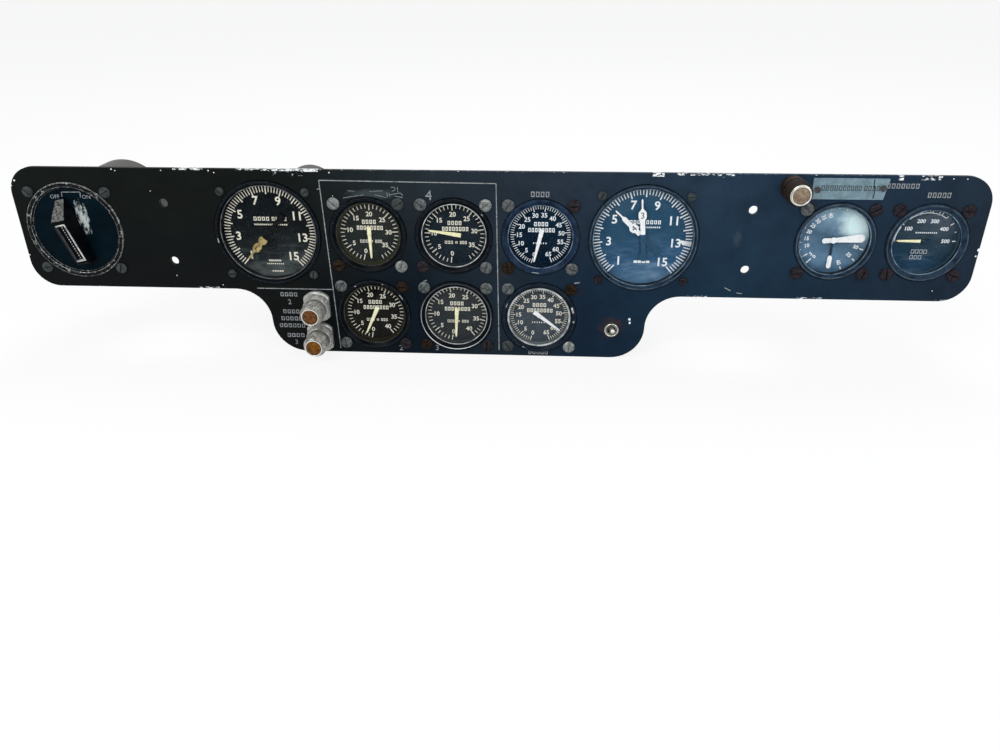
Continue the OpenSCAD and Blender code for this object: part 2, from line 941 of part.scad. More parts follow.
module selector_rim() {
    outer = selector_rim_d / 2;
    inner = selector_face_r - 1;
    color("#3a3c3d")
        on_panel(SELECTOR)
            rotate_extrude($fn = 96)
                polygon([[inner, -selector_face_depth], [selector_face_r, -selector_face_depth],
                    [selector_face_r, 0], [outer, 0], [outer, selector_rim_h - 0.5],
                    [outer - 0.5, selector_rim_h], [inner + 1.4, selector_rim_h],
                    [inner, selector_rim_h - 1.4]]);
}

module selector_face() {
    front = -selector_face_depth;
    color("#12181f")
        on_panel(SELECTOR)
            difference() {
                union() {
                    ring(front - selector_seat_t, front, selector_face_r);
                    ring(front - selector_boss_h, front - 0.2, selector_boss_r);
                }
                ring(front - selector_boss_h - 1, front + 1, selector_shaft_d / 2 + running_gap);
            }
}

module selector_contacts() {
    deck_back = back - selector_deck_depth;
    color("#8a6a34")
        on_panel(SELECTOR)
            ring(deck_back, deck_back + selector_deck_t, selector_bore_r - running_gap,
                selector_shaft_d / 2 + 2);
}

module knob_side(inset) {
    polygon([[knob_reach - inset, knob_lift - selector_face_depth],
        [knob_reach - inset, knob_tip_h - inset], [knob_ridge + 0.8, knob_h - inset],
        [knob_ridge - 0.8, knob_h - inset], [2 - knob_tail + inset, knob_tail_h - inset],
        [inset - knob_tail, knob_tail_h - 2.4 - inset],
        [inset - knob_tail, knob_lift - selector_face_depth]]);
}

// Stands the knob's side view up along the second axis, as wide as asked
module knob_slab(w, inset) {
    rotate([90, 0, 90])
        translate([0, 0, -w / 2])
            linear_extrude(w)
                knob_side(inset);
}

// The knob as seen from the front: straight sides that draw in from the ridge to the pointing end
module knob_plan() {
    polygon([[-knob_w / 2, -knob_tail], [-knob_w / 2, knob_ridge], [-knob_tip_w / 2, knob_reach],
        [knob_tip_w / 2, knob_reach], [knob_w / 2, knob_ridge], [knob_w / 2, -knob_tail]]);
}

// Lays its children on the knob's long slope, from the ridge down to the tail
module on_knob_slope() {
    run = knob_ridge - 0.8 + knob_tail - 2;
    slope = atan2(knob_h - knob_tail_h, run);
    translate([0, knob_ridge - 0.8, knob_h])
        rotate([slope, 0, 0])
            translate([0, -run / cos(slope) / 2, 0])
                children();
}

insert_len = norm([knob_ridge - 0.8 + knob_tail - 2, knob_h - knob_tail_h]) - 2.6;

module selector_knob() {
    color("#23262b")
        on_panel(SELECTOR, knob_rest)
            difference() {
                intersection() {
                    hull() {
                        knob_slab(knob_w - 2 * knob_edge, 0);
                        knob_slab(knob_w, knob_edge);
                    }
                    translate([0, 0, -1])
                        linear_extrude(knob_h + 2)
                            knob_plan();
                }
                ring(-1, knob_tail_h, selector_shaft_d / 2 + running_gap);
                on_knob_slope()
                    translate([-insert_w / 2 - 0.05, -insert_len / 2 - 0.05, -insert_sink])
                        cube([insert_w + 0.1, insert_len + 0.1, insert_sink + 2]);
            }
}

// The worn light frame round the slot in the knob's long slope
module selector_knob_insert() {
    color("#c9c4b4")
        on_panel(SELECTOR, knob_rest)
            on_knob_slope()
                difference() {
                    translate([-insert_w / 2, -insert_len / 2, -insert_sink])
                        cube([insert_w, insert_len, insert_sink + insert_rise]);
                    translate([insert_wall - insert_w / 2, insert_wall - insert_len / 2,
                        -insert_sink - 1])
                        cube([insert_w - 2 * insert_wall, insert_len - 2 * insert_wall,
                            insert_sink + insert_rise + 2]);
                }
}

module selector_shaft() {
    wheel_top = -selector_boss_h - selector_face_depth - 1;
    color("#a9abab")
        on_panel(SELECTOR, knob_rest)
            union() {
                ring(back - selector_deck_depth - 4, knob_tail_h, selector_shaft_d / 2);
                difference() {
                    ring(wheel_top - wheel_t, wheel_top, wheel_r);
                    for (i = [0 : wheel_notches - 1])
                        rotate([0, 0, i * 360 / wheel_notches])
                            translate([wheel_r + 1, 0, wheel_top - wheel_t - 1])
                                cylinder(r = 2.4, h = wheel_t + 2, $fn = 32);
                }
            }
}

// Lamps: a socket through the plate, a flange or a collar in front, and a cap that presses in
module lamp_socket(place, d, depth) {
    on_panel(place) {
        difference() {
            union() {
                ring(-depth, lamp_barrel_top, d / 2);
                ring(-depth - lamp_stub_len, 0.5 - depth, lamp_stub_d / 2);
                ring(back - lamp_nut_t, back, d / 2 + 1.2);
            }
            ring(2 - depth, lamp_barrel_top + 1, d / 2 - lamp_wall);
        }
        for (side = [-1, 1])
            translate([side * 2.2 - 0.4, -1.2, -depth - lamp_stub_len - 3])
                cube([0.8, 2.4, 3.5]);
    }
}

module lamp_sockets() {
    color("#8c8b85") {
        lamp_socket(LAMP_UPPER, lamp_socket_d, lamp_depth + plate_t);
        lamp_socket(LAMP_LOWER, lamp_socket_d, lamp_depth + plate_t);
        lamp_socket(LAMP_BELLY, belly_socket_d, belly_socket_depth);
    }
}

module lamp_flanges() {
    bore = lamp_socket_d / 2 + fit / 2;
    color("#a3a39e")
        for (place = [LAMP_UPPER, LAMP_LOWER])
            on_panel(place)
                difference() {
                    union() {
                        intersection() {
                            union() {
                                ring(0, lamp_flange_t - 1, lamp_flange_d / 2);
                                translate([0, 0, lamp_flange_t - 1])
                                    cylinder(r1 = lamp_flange_d / 2, r2 = lamp_flange_d / 2 - 1, h = 1);
                            }
                            translate([-lamp_flange_flats / 2, -lamp_flange_d, -1])
                                cube([lamp_flange_flats, 2 * lamp_flange_d, lamp_flange_t + 2]);
                        }
                        ring(lamp_flange_t - 0.5, lamp_grip_top, bore + 1.1);
                        ring(lamp_flange_t + 1.2, lamp_flange_t + 2.2, bore + 1.6);
                        ring(lamp_flange_t + 3, lamp_flange_t + 4, bore + 1.6);
                    }
                    ring(-1, lamp_grip_top + 1, bore);
                }
}

module belly_lamp_collar() {
    ribs = 24;
    color("#6b4a35")
        on_panel(LAMP_BELLY)
            difference() {
                ring(0, lamp_grip_top, belly_collar_d / 2);
                ring(-1, lamp_grip_top + 1, belly_socket_d / 2 + running_gap);
                for (i = [0 : ribs - 1])
                    rotate([0, 0, i * 360 / ribs])
                        translate([belly_collar_d / 2 + 0.1, 0, 2])
                            rotate([0, 0, 45])
                                translate([-0.25, -0.25, 0])
                                    cube([0.5, 0.5, lamp_grip_top]);
            }
}

module lamp_cap(place, socket_d, stem_end) {
    low = lamp_barrel_top + lamp_travel + 0.4;
    crown = lamp_cap_top - 1.6;
    shoulder = crown - 2.4;
    rim_r = lamp_lens_d / 2 + lamp_rim_w;
    groove_w = 0.9;
    groove_depth = 0.5;
    color("#b9bab5")
        on_panel(place)
            difference() {
                union() {
                    ring(low, shoulder, lamp_cap_d / 2);
                    translate([0, 0, shoulder])
                        cylinder(r1 = lamp_cap_d / 2, r2 = rim_r + 0.4, h = crown - shoulder);
                    ring(crown - 0.5, lamp_cap_top, rim_r);
                    ring(stem_end, low + 0.5, socket_d / 2 - lamp_wall - fit);
                }
                ring(lamp_cap_top - lens_depth, lamp_cap_top + 1, lamp_lens_d / 2 + running_gap);
                ring(stem_end - 1, lamp_cap_top - lens_depth - 1.2, lamp_lens_d / 2 - 2.2);
                for (step = [0 : 2])
                    translate([0, 0, shoulder - 1.6 - 2.4 * step])
                        ring(0, groove_w, lamp_cap_d / 2 + 1, lamp_cap_d / 2 - groove_depth);
            }
}

module lamp_lens(place) {
    dome = 1;
    color("#8a4a16", 0.8)
        on_panel(place) {
            ring(lamp_cap_top - lens_depth, lamp_cap_top - dome, lamp_lens_d / 2);
            translate([0, 0, lamp_cap_top - dome])
                rotate_extrude()
                    polygon([[0, 0], for (a = [0 : 15 : 90])
                        [lamp_lens_d / 2 * cos(a), 1.6 * dome * sin(a)]]);
        }
}

module lamp_cap_upper() {
    lamp_cap(LAMP_UPPER, lamp_socket_d, -6);
}

module lamp_cap_lower() {
    lamp_cap(LAMP_LOWER, lamp_socket_d, -6);
}

module lamp_cap_belly() {
    lamp_cap(LAMP_BELLY, belly_socket_d, -2);
}

module lamp_lens_upper() {
    lamp_lens(LAMP_UPPER);
}

module lamp_lens_lower() {
    lamp_lens(LAMP_LOWER);
}

module lamp_lens_belly() {
    lamp_lens(LAMP_BELLY);
}

// Toggle: a box with three tags behind the plate, a bushing through it, a ring nut and the lever
module toggle_body() {
    top = back - 3;
    color("#3b2f26")
        on_panel(TOGGLE) {
            difference() {
                translate([-toggle_body_w / 2, -toggle_body_h / 2, top - toggle_body_depth])
                    cube([toggle_body_w, toggle_body_h, toggle_body_depth]);
                ring(top - 8, top + 1, toggle_bushing_d / 2 + running_gap);
            }
            for (y = [-8, 0, 8])
                translate([-2, y - 0.4, top - toggle_body_depth - 6])
                    cube([4, 0.8, 6.5]);
        }
}

module toggle_bushing() {
    color("#8d8f8c")
        on_panel(TOGGLE)
            difference() {
                union() {
                    ring(back - 8, toggle_nut_h - 0.5, toggle_bushing_d / 2);
                    translate([0, 0, back - 3])
                        cylinder(r = 8, h = 3, $fn = 6);
                }
                ring(back - 7, toggle_nut_h + 1, toggle_bore_r);
            }
}

module toggle_ring_nut() {
    color("#a2a39d")
        on_panel(TOGGLE)
            ring(0, toggle_nut_h, toggle_nut_d / 2, toggle_bushing_d / 2 + running_gap);
}

module toggle_lever() {
    color("#b4b5b0")
        on_panel(TOGGLE)
            translate([0, 0, toggle_pivot])
                rotate([-toggle_tilt, 0, 0])
                    union() {
                        sphere(r = toggle_bore_r - 0.4, $fn = 32);
                        cylinder(r1 = 1.3, r2 = 1.6, h = toggle_reach - toggle_pivot - toggle_tip_r);
                        translate([0, 0, toggle_reach - toggle_pivot - toggle_tip_r])
                            sphere(r = toggle_tip_r, $fn = 32);
                    }
}

panel_plate();
gauge_screws();
flow_gauge_screws();
selector_screws();
label_plate();
label_plate_rivets();
selector_housing();
selector_rim();
selector_face();
selector_contacts();
selector_knob();
selector_knob_insert();
selector_shaft();
flow_left_case();
flow_right_case();
flow_bezels();
flow_glasses();
flow_left_dial();
flow_right_dial();
flow_movements();
flow_left_pointer_3();
flow_left_pointer_4();
flow_right_pointer_3();
flow_right_pointer_4();
quantity_cases();
pressure_cases();
quantity_bezels();
pressure_bezels();
quantity_glasses();
pressure_glasses();
fuel_dials();
water_dials();
belly_dial();
pressure_dial();
quantity_movements();
pressure_movements();
fuel_pointer_1();
fuel_pointer_2();
fuel_pointer_3();
fuel_pointer_4();
water_pointer_left();
water_pointer_right();
belly_pointer_long();
belly_pointer_short();
pressure_pointer();
rear_connectors();
lamp_sockets();
lamp_flanges();
belly_lamp_collar();
lamp_cap_upper();
lamp_cap_lower();
lamp_cap_belly();
lamp_lens_upper();
lamp_lens_lower();
lamp_lens_belly();
toggle_body();
toggle_bushing();
toggle_ring_nut();
toggle_lever();
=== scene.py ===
# %% [markdown]
# # Dressing an aircraft fuel control panel
# The CAD model already holds every solid at its true size, so Blender adds what a solid lacks:
# worn enamel, printed dials, softened edges, glass and light. All places come from the loaded
# frame, in metres, and a piece that faces front is first drawn flat in millimetres.

# %% Load the frame
import json
from math import atan2, cos, degrees, pi, radians, sin

import bmesh
import bpy
from mathutils import Matrix, Vector

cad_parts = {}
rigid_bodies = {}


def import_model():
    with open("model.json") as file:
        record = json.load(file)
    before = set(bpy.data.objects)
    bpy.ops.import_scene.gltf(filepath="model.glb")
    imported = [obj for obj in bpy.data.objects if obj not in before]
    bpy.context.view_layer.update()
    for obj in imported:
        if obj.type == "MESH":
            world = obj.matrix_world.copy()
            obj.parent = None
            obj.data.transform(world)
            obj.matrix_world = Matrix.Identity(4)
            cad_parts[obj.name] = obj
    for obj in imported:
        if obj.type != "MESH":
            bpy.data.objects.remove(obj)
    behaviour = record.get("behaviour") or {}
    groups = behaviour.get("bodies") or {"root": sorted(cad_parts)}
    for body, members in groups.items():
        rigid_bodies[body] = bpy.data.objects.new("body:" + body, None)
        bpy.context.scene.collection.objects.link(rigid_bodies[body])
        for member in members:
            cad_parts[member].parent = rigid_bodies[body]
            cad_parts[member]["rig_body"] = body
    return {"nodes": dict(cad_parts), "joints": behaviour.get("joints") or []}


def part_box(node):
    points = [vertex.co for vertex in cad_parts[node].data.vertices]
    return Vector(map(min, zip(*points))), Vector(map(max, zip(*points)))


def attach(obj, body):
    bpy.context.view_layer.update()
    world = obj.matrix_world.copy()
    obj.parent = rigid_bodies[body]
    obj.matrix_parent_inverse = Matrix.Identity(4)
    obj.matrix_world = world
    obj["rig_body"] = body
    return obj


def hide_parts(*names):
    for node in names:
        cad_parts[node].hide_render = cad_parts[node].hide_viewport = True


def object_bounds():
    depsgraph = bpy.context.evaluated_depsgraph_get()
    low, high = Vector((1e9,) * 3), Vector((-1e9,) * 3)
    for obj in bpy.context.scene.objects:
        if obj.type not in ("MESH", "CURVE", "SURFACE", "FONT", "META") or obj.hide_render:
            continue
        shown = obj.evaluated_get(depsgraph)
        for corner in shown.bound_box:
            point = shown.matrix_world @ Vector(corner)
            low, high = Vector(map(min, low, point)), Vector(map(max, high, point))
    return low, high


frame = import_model()
cad_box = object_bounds()
MM = 0.001
panel_low, panel_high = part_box("panel_plate")
face_y = panel_low.y
print("CAD box", [round(v, 4) for corner in cad_box for v in corner])

# %% [markdown]
# ## The camera
# The photograph looks a little down at the panel from just right of its middle. A camera is aimed
# by turning its -Z axis to the point it looks at, and the slight tilt of the hand-held shot is a
# roll about that same axis.

# %% Camera
CAMERA_AT = Vector((0.06787, -0.57698, 0.18220))
CAMERA_AIM = Vector((0.0336, face_y, -0.1137))
CAMERA_ROLL = radians(-0.22)
LENS_MM = 29.29

camera_data = bpy.data.cameras.new("camera")
camera_data.lens = LENS_MM
camera_data.sensor_fit = "HORIZONTAL"
camera = bpy.data.objects.new("camera", camera_data)
aim_turn = (CAMERA_AIM - CAMERA_AT).to_track_quat("-Z", "Y").to_matrix().to_4x4()
camera.matrix_world = (Matrix.Translation(CAMERA_AT) @ aim_turn
                       @ Matrix.Rotation(CAMERA_ROLL, 4, "Z"))
bpy.context.collection.objects.link(camera)
bpy.context.scene.camera = camera
bpy.context.scene.view_settings.view_transform = "Standard"
print("camera", round((CAMERA_AIM - CAMERA_AT).length, 3), "m from what it looks at")

# %% [markdown]
# ## Helpers for materials
# Colours are read off as sRGB hex values, and Blender's sockets want linear light, so one function
# turns them. One more adds any node with its settings, values and links in a single call. Sockets
# go by name, or by place where several share a name: a colour Mix takes its share at 0 and its two
# colours at 6 and 7, and gives the mixed colour at output 2.

# %% Colour and node helpers
def srgb(code):
    """Linear RGBA of a hex colour such as #8a9097."""
    channels = [int(code[i:i + 2], 16) / 255 for i in (1, 3, 5)]
    return [c / 12.92 if c <= 0.04045 else ((c + 0.055) / 1.055) ** 2.4 for c in channels] + [1.0]


def add_node(owner, kind, values=None, **settings):
    """Adds a node to a material or world, sets its properties, and fills or links its sockets."""
    node = owner.node_tree.nodes.new(kind)
    for name, value in settings.items():
        setattr(node, name, value)
    for name, value in (values or {}).items():
        if isinstance(value, bpy.types.NodeSocket):
            owner.node_tree.links.new(value, node.inputs[name])
        else:
            node.inputs[name].default_value = value
    return node


def new_material(name, **sockets):
    """A material and its Principled shader, with constant values set on the shader's sockets."""
    mat = bpy.data.materials.new(name)
    mat.use_nodes = True
    shader = mat.node_tree.nodes["Principled BSDF"]
    for socket, value in sockets.items():
        shader.inputs[socket.replace("_", " ")].default_value = value
    print("material", name)
    return mat, shader


# %% [markdown]
# ## Floor, world and lamps
# The panel was cut out on white. A pale floor under it keeps a soft shadow, and the part of the
# floor and world that the camera or a mirror sees is white by its own colour, so the lamps can stay
# at a level where a painted colour renders about as it is written.

# %% What the camera sees directly
def seen_directly(owner):
    """1 for camera, glossy and transmission rays, else 0."""
    path = add_node(owner, "ShaderNodeLightPath")
    mirror = add_node(owner, "ShaderNodeMath", {0: path.outputs["Is Camera Ray"],
                      1: path.outputs["Is Glossy Ray"]}, operation="MAXIMUM")
    return add_node(owner, "ShaderNodeMath", {0: mirror.outputs[0],
                    1: path.outputs["Is Transmission Ray"]}, operation="MAXIMUM").outputs[0]


# %% Floor
FLOOR_HALF_M = 25.0
# How much of the floor's own white the camera sees over the lit paper, which keeps the shadow
SEEN_WHITE = 0.86
floor_paper = bpy.data.materials.new("floor_paper")
floor_paper.use_nodes = True
floor_paper.node_tree.nodes.clear()
paper = add_node(floor_paper, "ShaderNodeBsdfDiffuse", {"Color": srgb("#ececea")})
glow = add_node(floor_paper, "ShaderNodeEmission", {"Color": srgb("#ffffff"), "Strength": 1.0})
share = add_node(floor_paper, "ShaderNodeMath", {0: seen_directly(floor_paper), 1: SEEN_WHITE},
                 operation="MULTIPLY")
blend = add_node(floor_paper, "ShaderNodeMixShader", {0: share.outputs[0], 1: paper.outputs[0],
                 2: glow.outputs[0]})
add_node(floor_paper, "ShaderNodeOutputMaterial", {"Surface": blend.outputs[0]})

bm = bmesh.new()
bmesh.ops.create_grid(bm, x_segments=1, y_segments=1, size=FLOOR_HALF_M)
bmesh.ops.translate(bm, vec=(0, 0, cad_box[0][2]), verts=bm.verts)
floor_mesh = bpy.data.meshes.new("floor")
bm.to_mesh(floor_mesh)
bm.free()
floor_mesh.materials.append(floor_paper)
floor = bpy.data.objects.new("floor", floor_mesh)
bpy.context.collection.objects.link(floor)
print("floor", 2 * FLOOR_HALF_M, "m wide at", round(cad_box[0][2], 4))

# %% World
SKY_LEVEL = 0.62
world = bpy.data.worlds.new("studio")
bpy.context.scene.world = world
world.use_nodes = True
world.node_tree.nodes.clear()
sky = add_node(world, "ShaderNodeBackground", {"Color": srgb("#f2f6fb"), "Strength": SKY_LEVEL})
white = add_node(world, "ShaderNodeBackground", {"Color": srgb("#ffffff"), "Strength": 1.0})
both = add_node(world, "ShaderNodeMixShader", {0: seen_directly(world), 1: sky.outputs[0],
                2: white.outputs[0]})
add_node(world, "ShaderNodeOutputWorld", {"Surface": both.outputs[0]})
print("world at strength", SKY_LEVEL)

# %% Lamps
# Each lamp: name, place in metres, width in metres, watts
LAMPS = [("key", (-0.9, -1.5, 1.5), 1.2, 24), ("fill", (1.3, -1.2, 0.9), 1.0, 9),
         ("top", (0.2, 0.9, 1.6), 1.0, 14)]
for name, place, width, watts in LAMPS:
    light = bpy.data.lights.new(name, "AREA")
    light.size, light.energy = width, watts
    lamp = bpy.data.objects.new(name, light)
    lamp.matrix_world = (Matrix.Translation(place)
                         @ (-Vector(place)).to_track_quat("-Z", "Y").to_matrix().to_4x4())
    bpy.context.collection.objects.link(lamp)
print(len(LAMPS), "lamps")

# %% [markdown]
# ## A finish in two tones, with specks and grain
# Old paint, plating and plastic are never one colour: broad patches differ a little, small specks
# show what lies under or on the surface, and a fine grain breaks up the gloss. One function builds
# such a finish from sizes in millimetres, and each material below gives it its own colours.

# %% Finish helper
# Width and height of the fine grain of every finish
GRAIN_MM, GRAIN_HEIGHT_MM = 0.5, 0.02


def finish(name, tones, patch_mm, speck=None, roughness=0.5, metallic=0.0, **sockets):
    """A material of two tones in patches, with a fine raised grain. A speck is given as its colour,
    its size in millimetres, the noise level from which it shows, and how metallic it is."""
    mat, shader = new_material(name, Roughness=roughness, Metallic=metallic, **sockets)
    where = add_node(mat, "ShaderNodeTexCoord").outputs["Object"]
    patches = add_node(mat, "ShaderNodeTexNoise", {"Vector": where, "Scale": 1 / (patch_mm * MM),
                       "Detail": 6.0, "Roughness": 0.62})
    tone = add_node(mat, "ShaderNodeMapRange", {"Value": patches.outputs[0], "From Min": 0.36,
                    "From Max": 0.64})
    colour = add_node(mat, "ShaderNodeMix", {0: tone.outputs[0], 6: srgb(tones[0]),
                      7: srgb(tones[1])}, data_type="RGBA").outputs[2]
    if speck:
        code, speck_mm, speck_from, speck_metal = speck
        specks = add_node(mat, "ShaderNodeTexNoise", {"Vector": where, "Scale": 1 / (speck_mm * MM),
                          "Detail": 8.0, "Roughness": 0.7})
        spot = add_node(mat, "ShaderNodeMapRange", {"Value": specks.outputs[0],
                        "From Min": speck_from, "From Max": speck_from + 0.04})
        colour = add_node(mat, "ShaderNodeMix", {0: spot.outputs[0], 6: colour, 7: srgb(code)},
                          data_type="RGBA").outputs[2]
        if metallic != speck_metal:
            metal = add_node(mat, "ShaderNodeMapRange", {"Value": spot.outputs[0],
                             "To Min": metallic, "To Max": speck_metal})
            mat.node_tree.links.new(metal.outputs[0], shader.inputs["Metallic"])
    grain = add_node(mat, "ShaderNodeTexNoise", {"Vector": where, "Scale": 1 / (GRAIN_MM * MM),
                     "Detail": 3.0})
    rub = add_node(mat, "ShaderNodeMapRange", {"Value": grain.outputs[0], "From Min": 0.3,
                   "From Max": 0.7, "To Min": roughness - 0.08, "To Max": roughness + 0.08})
    bump = add_node(mat, "ShaderNodeBump", {"Height": grain.outputs[0], "Strength": 0.6,
                    "Distance": GRAIN_HEIGHT_MM * MM})
    mat.node_tree.links.new(rub.outputs[0], shader.inputs["Roughness"])
    mat.node_tree.links.new(colour, shader.inputs["Base Color"])
    mat.node_tree.links.new(bump.outputs[0], shader.inputs["Normal"])
    return mat


# %% [markdown]
# ## Two rules for places on the front
# Dials, hands and worn spots are laid out on the panel's front. One rule measures how far a point
# lies from a centre in one direction, and the other tells whether it lies in a long oval, whose rim
# a noise breaks up as wear does.

# %% Distances on the front
def reach_along(mat, where, centre, turn):
    """Socket with the distance from a centre, measured towards an angle clockwise from the top."""
    offset = add_node(mat, "ShaderNodeVectorMath", {0: where, 1: (centre.x, 0, centre.y)},
                      operation="SUBTRACT")
    return add_node(mat, "ShaderNodeVectorMath", {0: offset.outputs[0],
                    1: (sin(radians(turn)), 0, cos(radians(turn)))},
                    operation="DOT_PRODUCT").outputs["Value"]


def broken_oval(mat, where, centre, halves, turn, noise, strength=1.0, spread=1.6):
    """Socket that falls from a strength in a long oval to 0 outside it, broken up by a noise."""
    across, up = [add_node(mat, "ShaderNodeMath", {0: reach_along(mat, where, centre, towards),
                  1: half * MM}, operation="DIVIDE").outputs[0]
                  for towards, half in zip((turn + 90, turn), halves)]
    flat = add_node(mat, "ShaderNodeCombineXYZ", {0: across, 1: up})
    out_of = add_node(mat, "ShaderNodeVectorMath", {0: flat.outputs[0]}, operation="LENGTH")
    broken = add_node(mat, "ShaderNodeMath", {0: noise, 1: -spread, 2: out_of.outputs["Value"]},
                      operation="MULTIPLY_ADD")
    return add_node(mat, "ShaderNodeMapRange", {"Value": broken.outputs[0],
                    "From Min": 0.35 - spread / 2, "From Max": 0.85 - spread / 2,
                    "To Min": strength, "To Max": 0.0}).outputs[0]


# %% [markdown]
# ## Worn enamel on the plate
# The plate is sheet aluminium under semi-matt enamel that reads black at the left and navy towards
# the right. Along some stretches of its rim the enamel has flaked down to bright metal, and there
# are small chips in between. The flakes are a rule, not a picture: where a point lies near the rim
# and inside a worn stretch, a broken noise decides whether the enamel is still there.

# %% Enamel colours
# Colour of the enamel along the top and along the bottom, as (share of the width, colour). The top
# is painted lighter and the bottom darker: painted light and shade, as light falls from above
ENAMEL_LIT_TOP = [(0.0, "#0b100e"), (0.3, "#0b100e"), (0.42, "#1e262b"), (0.6, "#212c38"),
              (0.75, "#1e3041"), (0.84, "#1a2d40"), (1.0, "#1b2733")]
ENAMEL_SHADED_LOW = [(0.0, "#080b0d"), (0.3, "#0b0e0e"), (0.42, "#04101a"), (0.51, "#19242e"),
              (0.6, "#0e2031"), (0.75, "#142a3b"), (0.87, "#152635"), (1.0, "#172330")]
# Heights between which the painted shade along the bottom turns into the painted light along the
# top
SHADE_FROM, SHADE_TO = -40 * MM, 40 * MM
# Sizes of the broad mottle and of the small scuffs
MOTTLE_MM, SCUFF_MM = 22, 3

enamel, enamel_shader = new_material("worn_semimatt_enamel", Roughness=0.5, IOR=1.5,
                                     Specular_IOR_Level=0.06)
where = add_node(enamel, "ShaderNodeTexCoord").outputs["Object"]
axes = add_node(enamel, "ShaderNodeSeparateXYZ", {0: where})
along = add_node(enamel, "ShaderNodeMapRange", {"Value": axes.outputs["X"],
                 "From Min": panel_low.x, "From Max": panel_high.x})
lit_and_shaded_tones = []
for tones in (ENAMEL_SHADED_LOW, ENAMEL_LIT_TOP):
    ramp = add_node(enamel, "ShaderNodeValToRGB", {0: along.outputs[0]})
    stops = ramp.color_ramp.elements
    for i, (at, code) in enumerate(tones):
        stop = stops[i] if i < 2 else stops.new(at)
        stop.position = at
        stop.color = srgb(code)
    lit_and_shaded_tones.append(ramp.outputs[0])
# Painted light and shade: the enamel grows lighter from the bottom up
lit_share = add_node(enamel, "ShaderNodeMapRange", {"Value": axes.outputs["Z"],
                  "From Min": SHADE_FROM, "From Max": SHADE_TO})
base_tone = add_node(enamel, "ShaderNodeMix", {0: lit_share.outputs[0], 6: lit_and_shaded_tones[0],
                     7: lit_and_shaded_tones[1]}, data_type="RGBA")
mottle = add_node(enamel, "ShaderNodeTexNoise", {"Vector": where, "Scale": 1 / (MOTTLE_MM * MM),
                  "Detail": 7.0, "Roughness": 0.65})
shade = add_node(enamel, "ShaderNodeMapRange", {"Value": mottle.outputs[0], "From Min": 0.3,
                 "From Max": 0.7, "To Min": 0.8, "To Max": 1.25})
colour = add_node(enamel, "ShaderNodeVectorMath", {0: base_tone.outputs[2], 1: shade.outputs[0]},
                  operation="MULTIPLY").outputs[0]
scuff = add_node(enamel, "ShaderNodeTexNoise", {"Vector": where, "Scale": 1 / (SCUFF_MM * MM),
                 "Detail": 9.0, "Roughness": 0.75})
scuffed = add_node(enamel, "ShaderNodeMapRange", {"Value": scuff.outputs[0], "From Min": 0.63,
                   "From Max": 0.75, "To Max": 0.3})
colour = add_node(enamel, "ShaderNodeMix", {0: scuffed.outputs[0], 6: colour,
                  7: srgb("#5d6267")}, data_type="RGBA").outputs[2]

# %% [markdown]
# ### Stains
# A stain is a long oval of another colour whose rim is broken up by a noise. The noise is stretched
# along the panel, as marks are that a cloth has wiped.

# %% Stains on the enamel
# Each stain: place, half width and half height in millimetres, colour and strength
STAINS = [((-56.5, 30.4), (25, 5), "#525c61", 0.35),  # old paint smear over the first fuel gauge
          ((118.8, -70.5), (12.5, 11.5), "#3f2b2a", 0.9),  # rust round the toggle
          ((252, 24), (9, 7), "#2a1f1c", 0.6),  # grime at the belly tank gauge's screw
          ((205, 2), (4, 9), "#3a4550", 0.5),  # pale rub between the clear holes
          ((93, -41), (9, 5), "#252228", 0.3),  # grime round a rusty screw
          ((37, -26), (7, 6), "#30282a", 0.5)]  # grime round another
# Grain of a stain's rim, and how it is stretched along the panel
WIPE_MM, WIPE_STRETCH = 2.6, (0.35, 1, 1)

wiped = add_node(enamel, "ShaderNodeMapping", {"Vector": where, "Scale": WIPE_STRETCH})
wipes = add_node(enamel, "ShaderNodeTexNoise", {"Vector": wiped.outputs[0],
                 "Scale": 1 / (WIPE_MM * MM), "Detail": 8.0, "Roughness": 0.7})
for middle, halves, code, strength in STAINS:
    stained = broken_oval(enamel, where, Vector(middle) * MM, halves, 0, wipes.outputs[0], strength)
    colour = add_node(enamel, "ShaderNodeMix", {0: stained, 6: colour, 7: srgb(code)},
                      data_type="RGBA").outputs[2]
print(len(STAINS), "stains on the enamel")

# %% [markdown]
# ### Flakes and chips
# Each worn stretch of a rim and each chip is a value that is highest where the wear is deepest. The
# highest value of all, plus a ragged noise, decides where bare aluminium shows, and the enamel's
# height drops there.

# %% Flakes along the rims, and chips
# Worn stretches of a rim: middle, half length and depth in millimetres, and how much is bare
WORN_TOP = [(-191, 11, 1.0, 0.6), (-128, 28, 1.1, 0.6), (-118, 11, 4.4, 0.48), (-101, 5, 1.4, 0.64),
            (145, 4, 2.2, 0.62), (180, 22, 1.3, 0.56), (192, 9, 3.0, 0.5), (310.4, 1.6, 3.0, 0.6),
            (331, 7, 2.8, 0.55), (-30, 120, 0.4, 0.48), (240, 60, 0.4, 0.48)]
WORN_LOW = [(-190, 8, 1.2, 0.58), (181, 7, 1.0, 0.58), (263, 10, 1.2, 0.55), (357, 4, 1.2, 0.58),
            (-285, 22, 0.4, 0.52)]
WINGS_LOW = -44 * MM
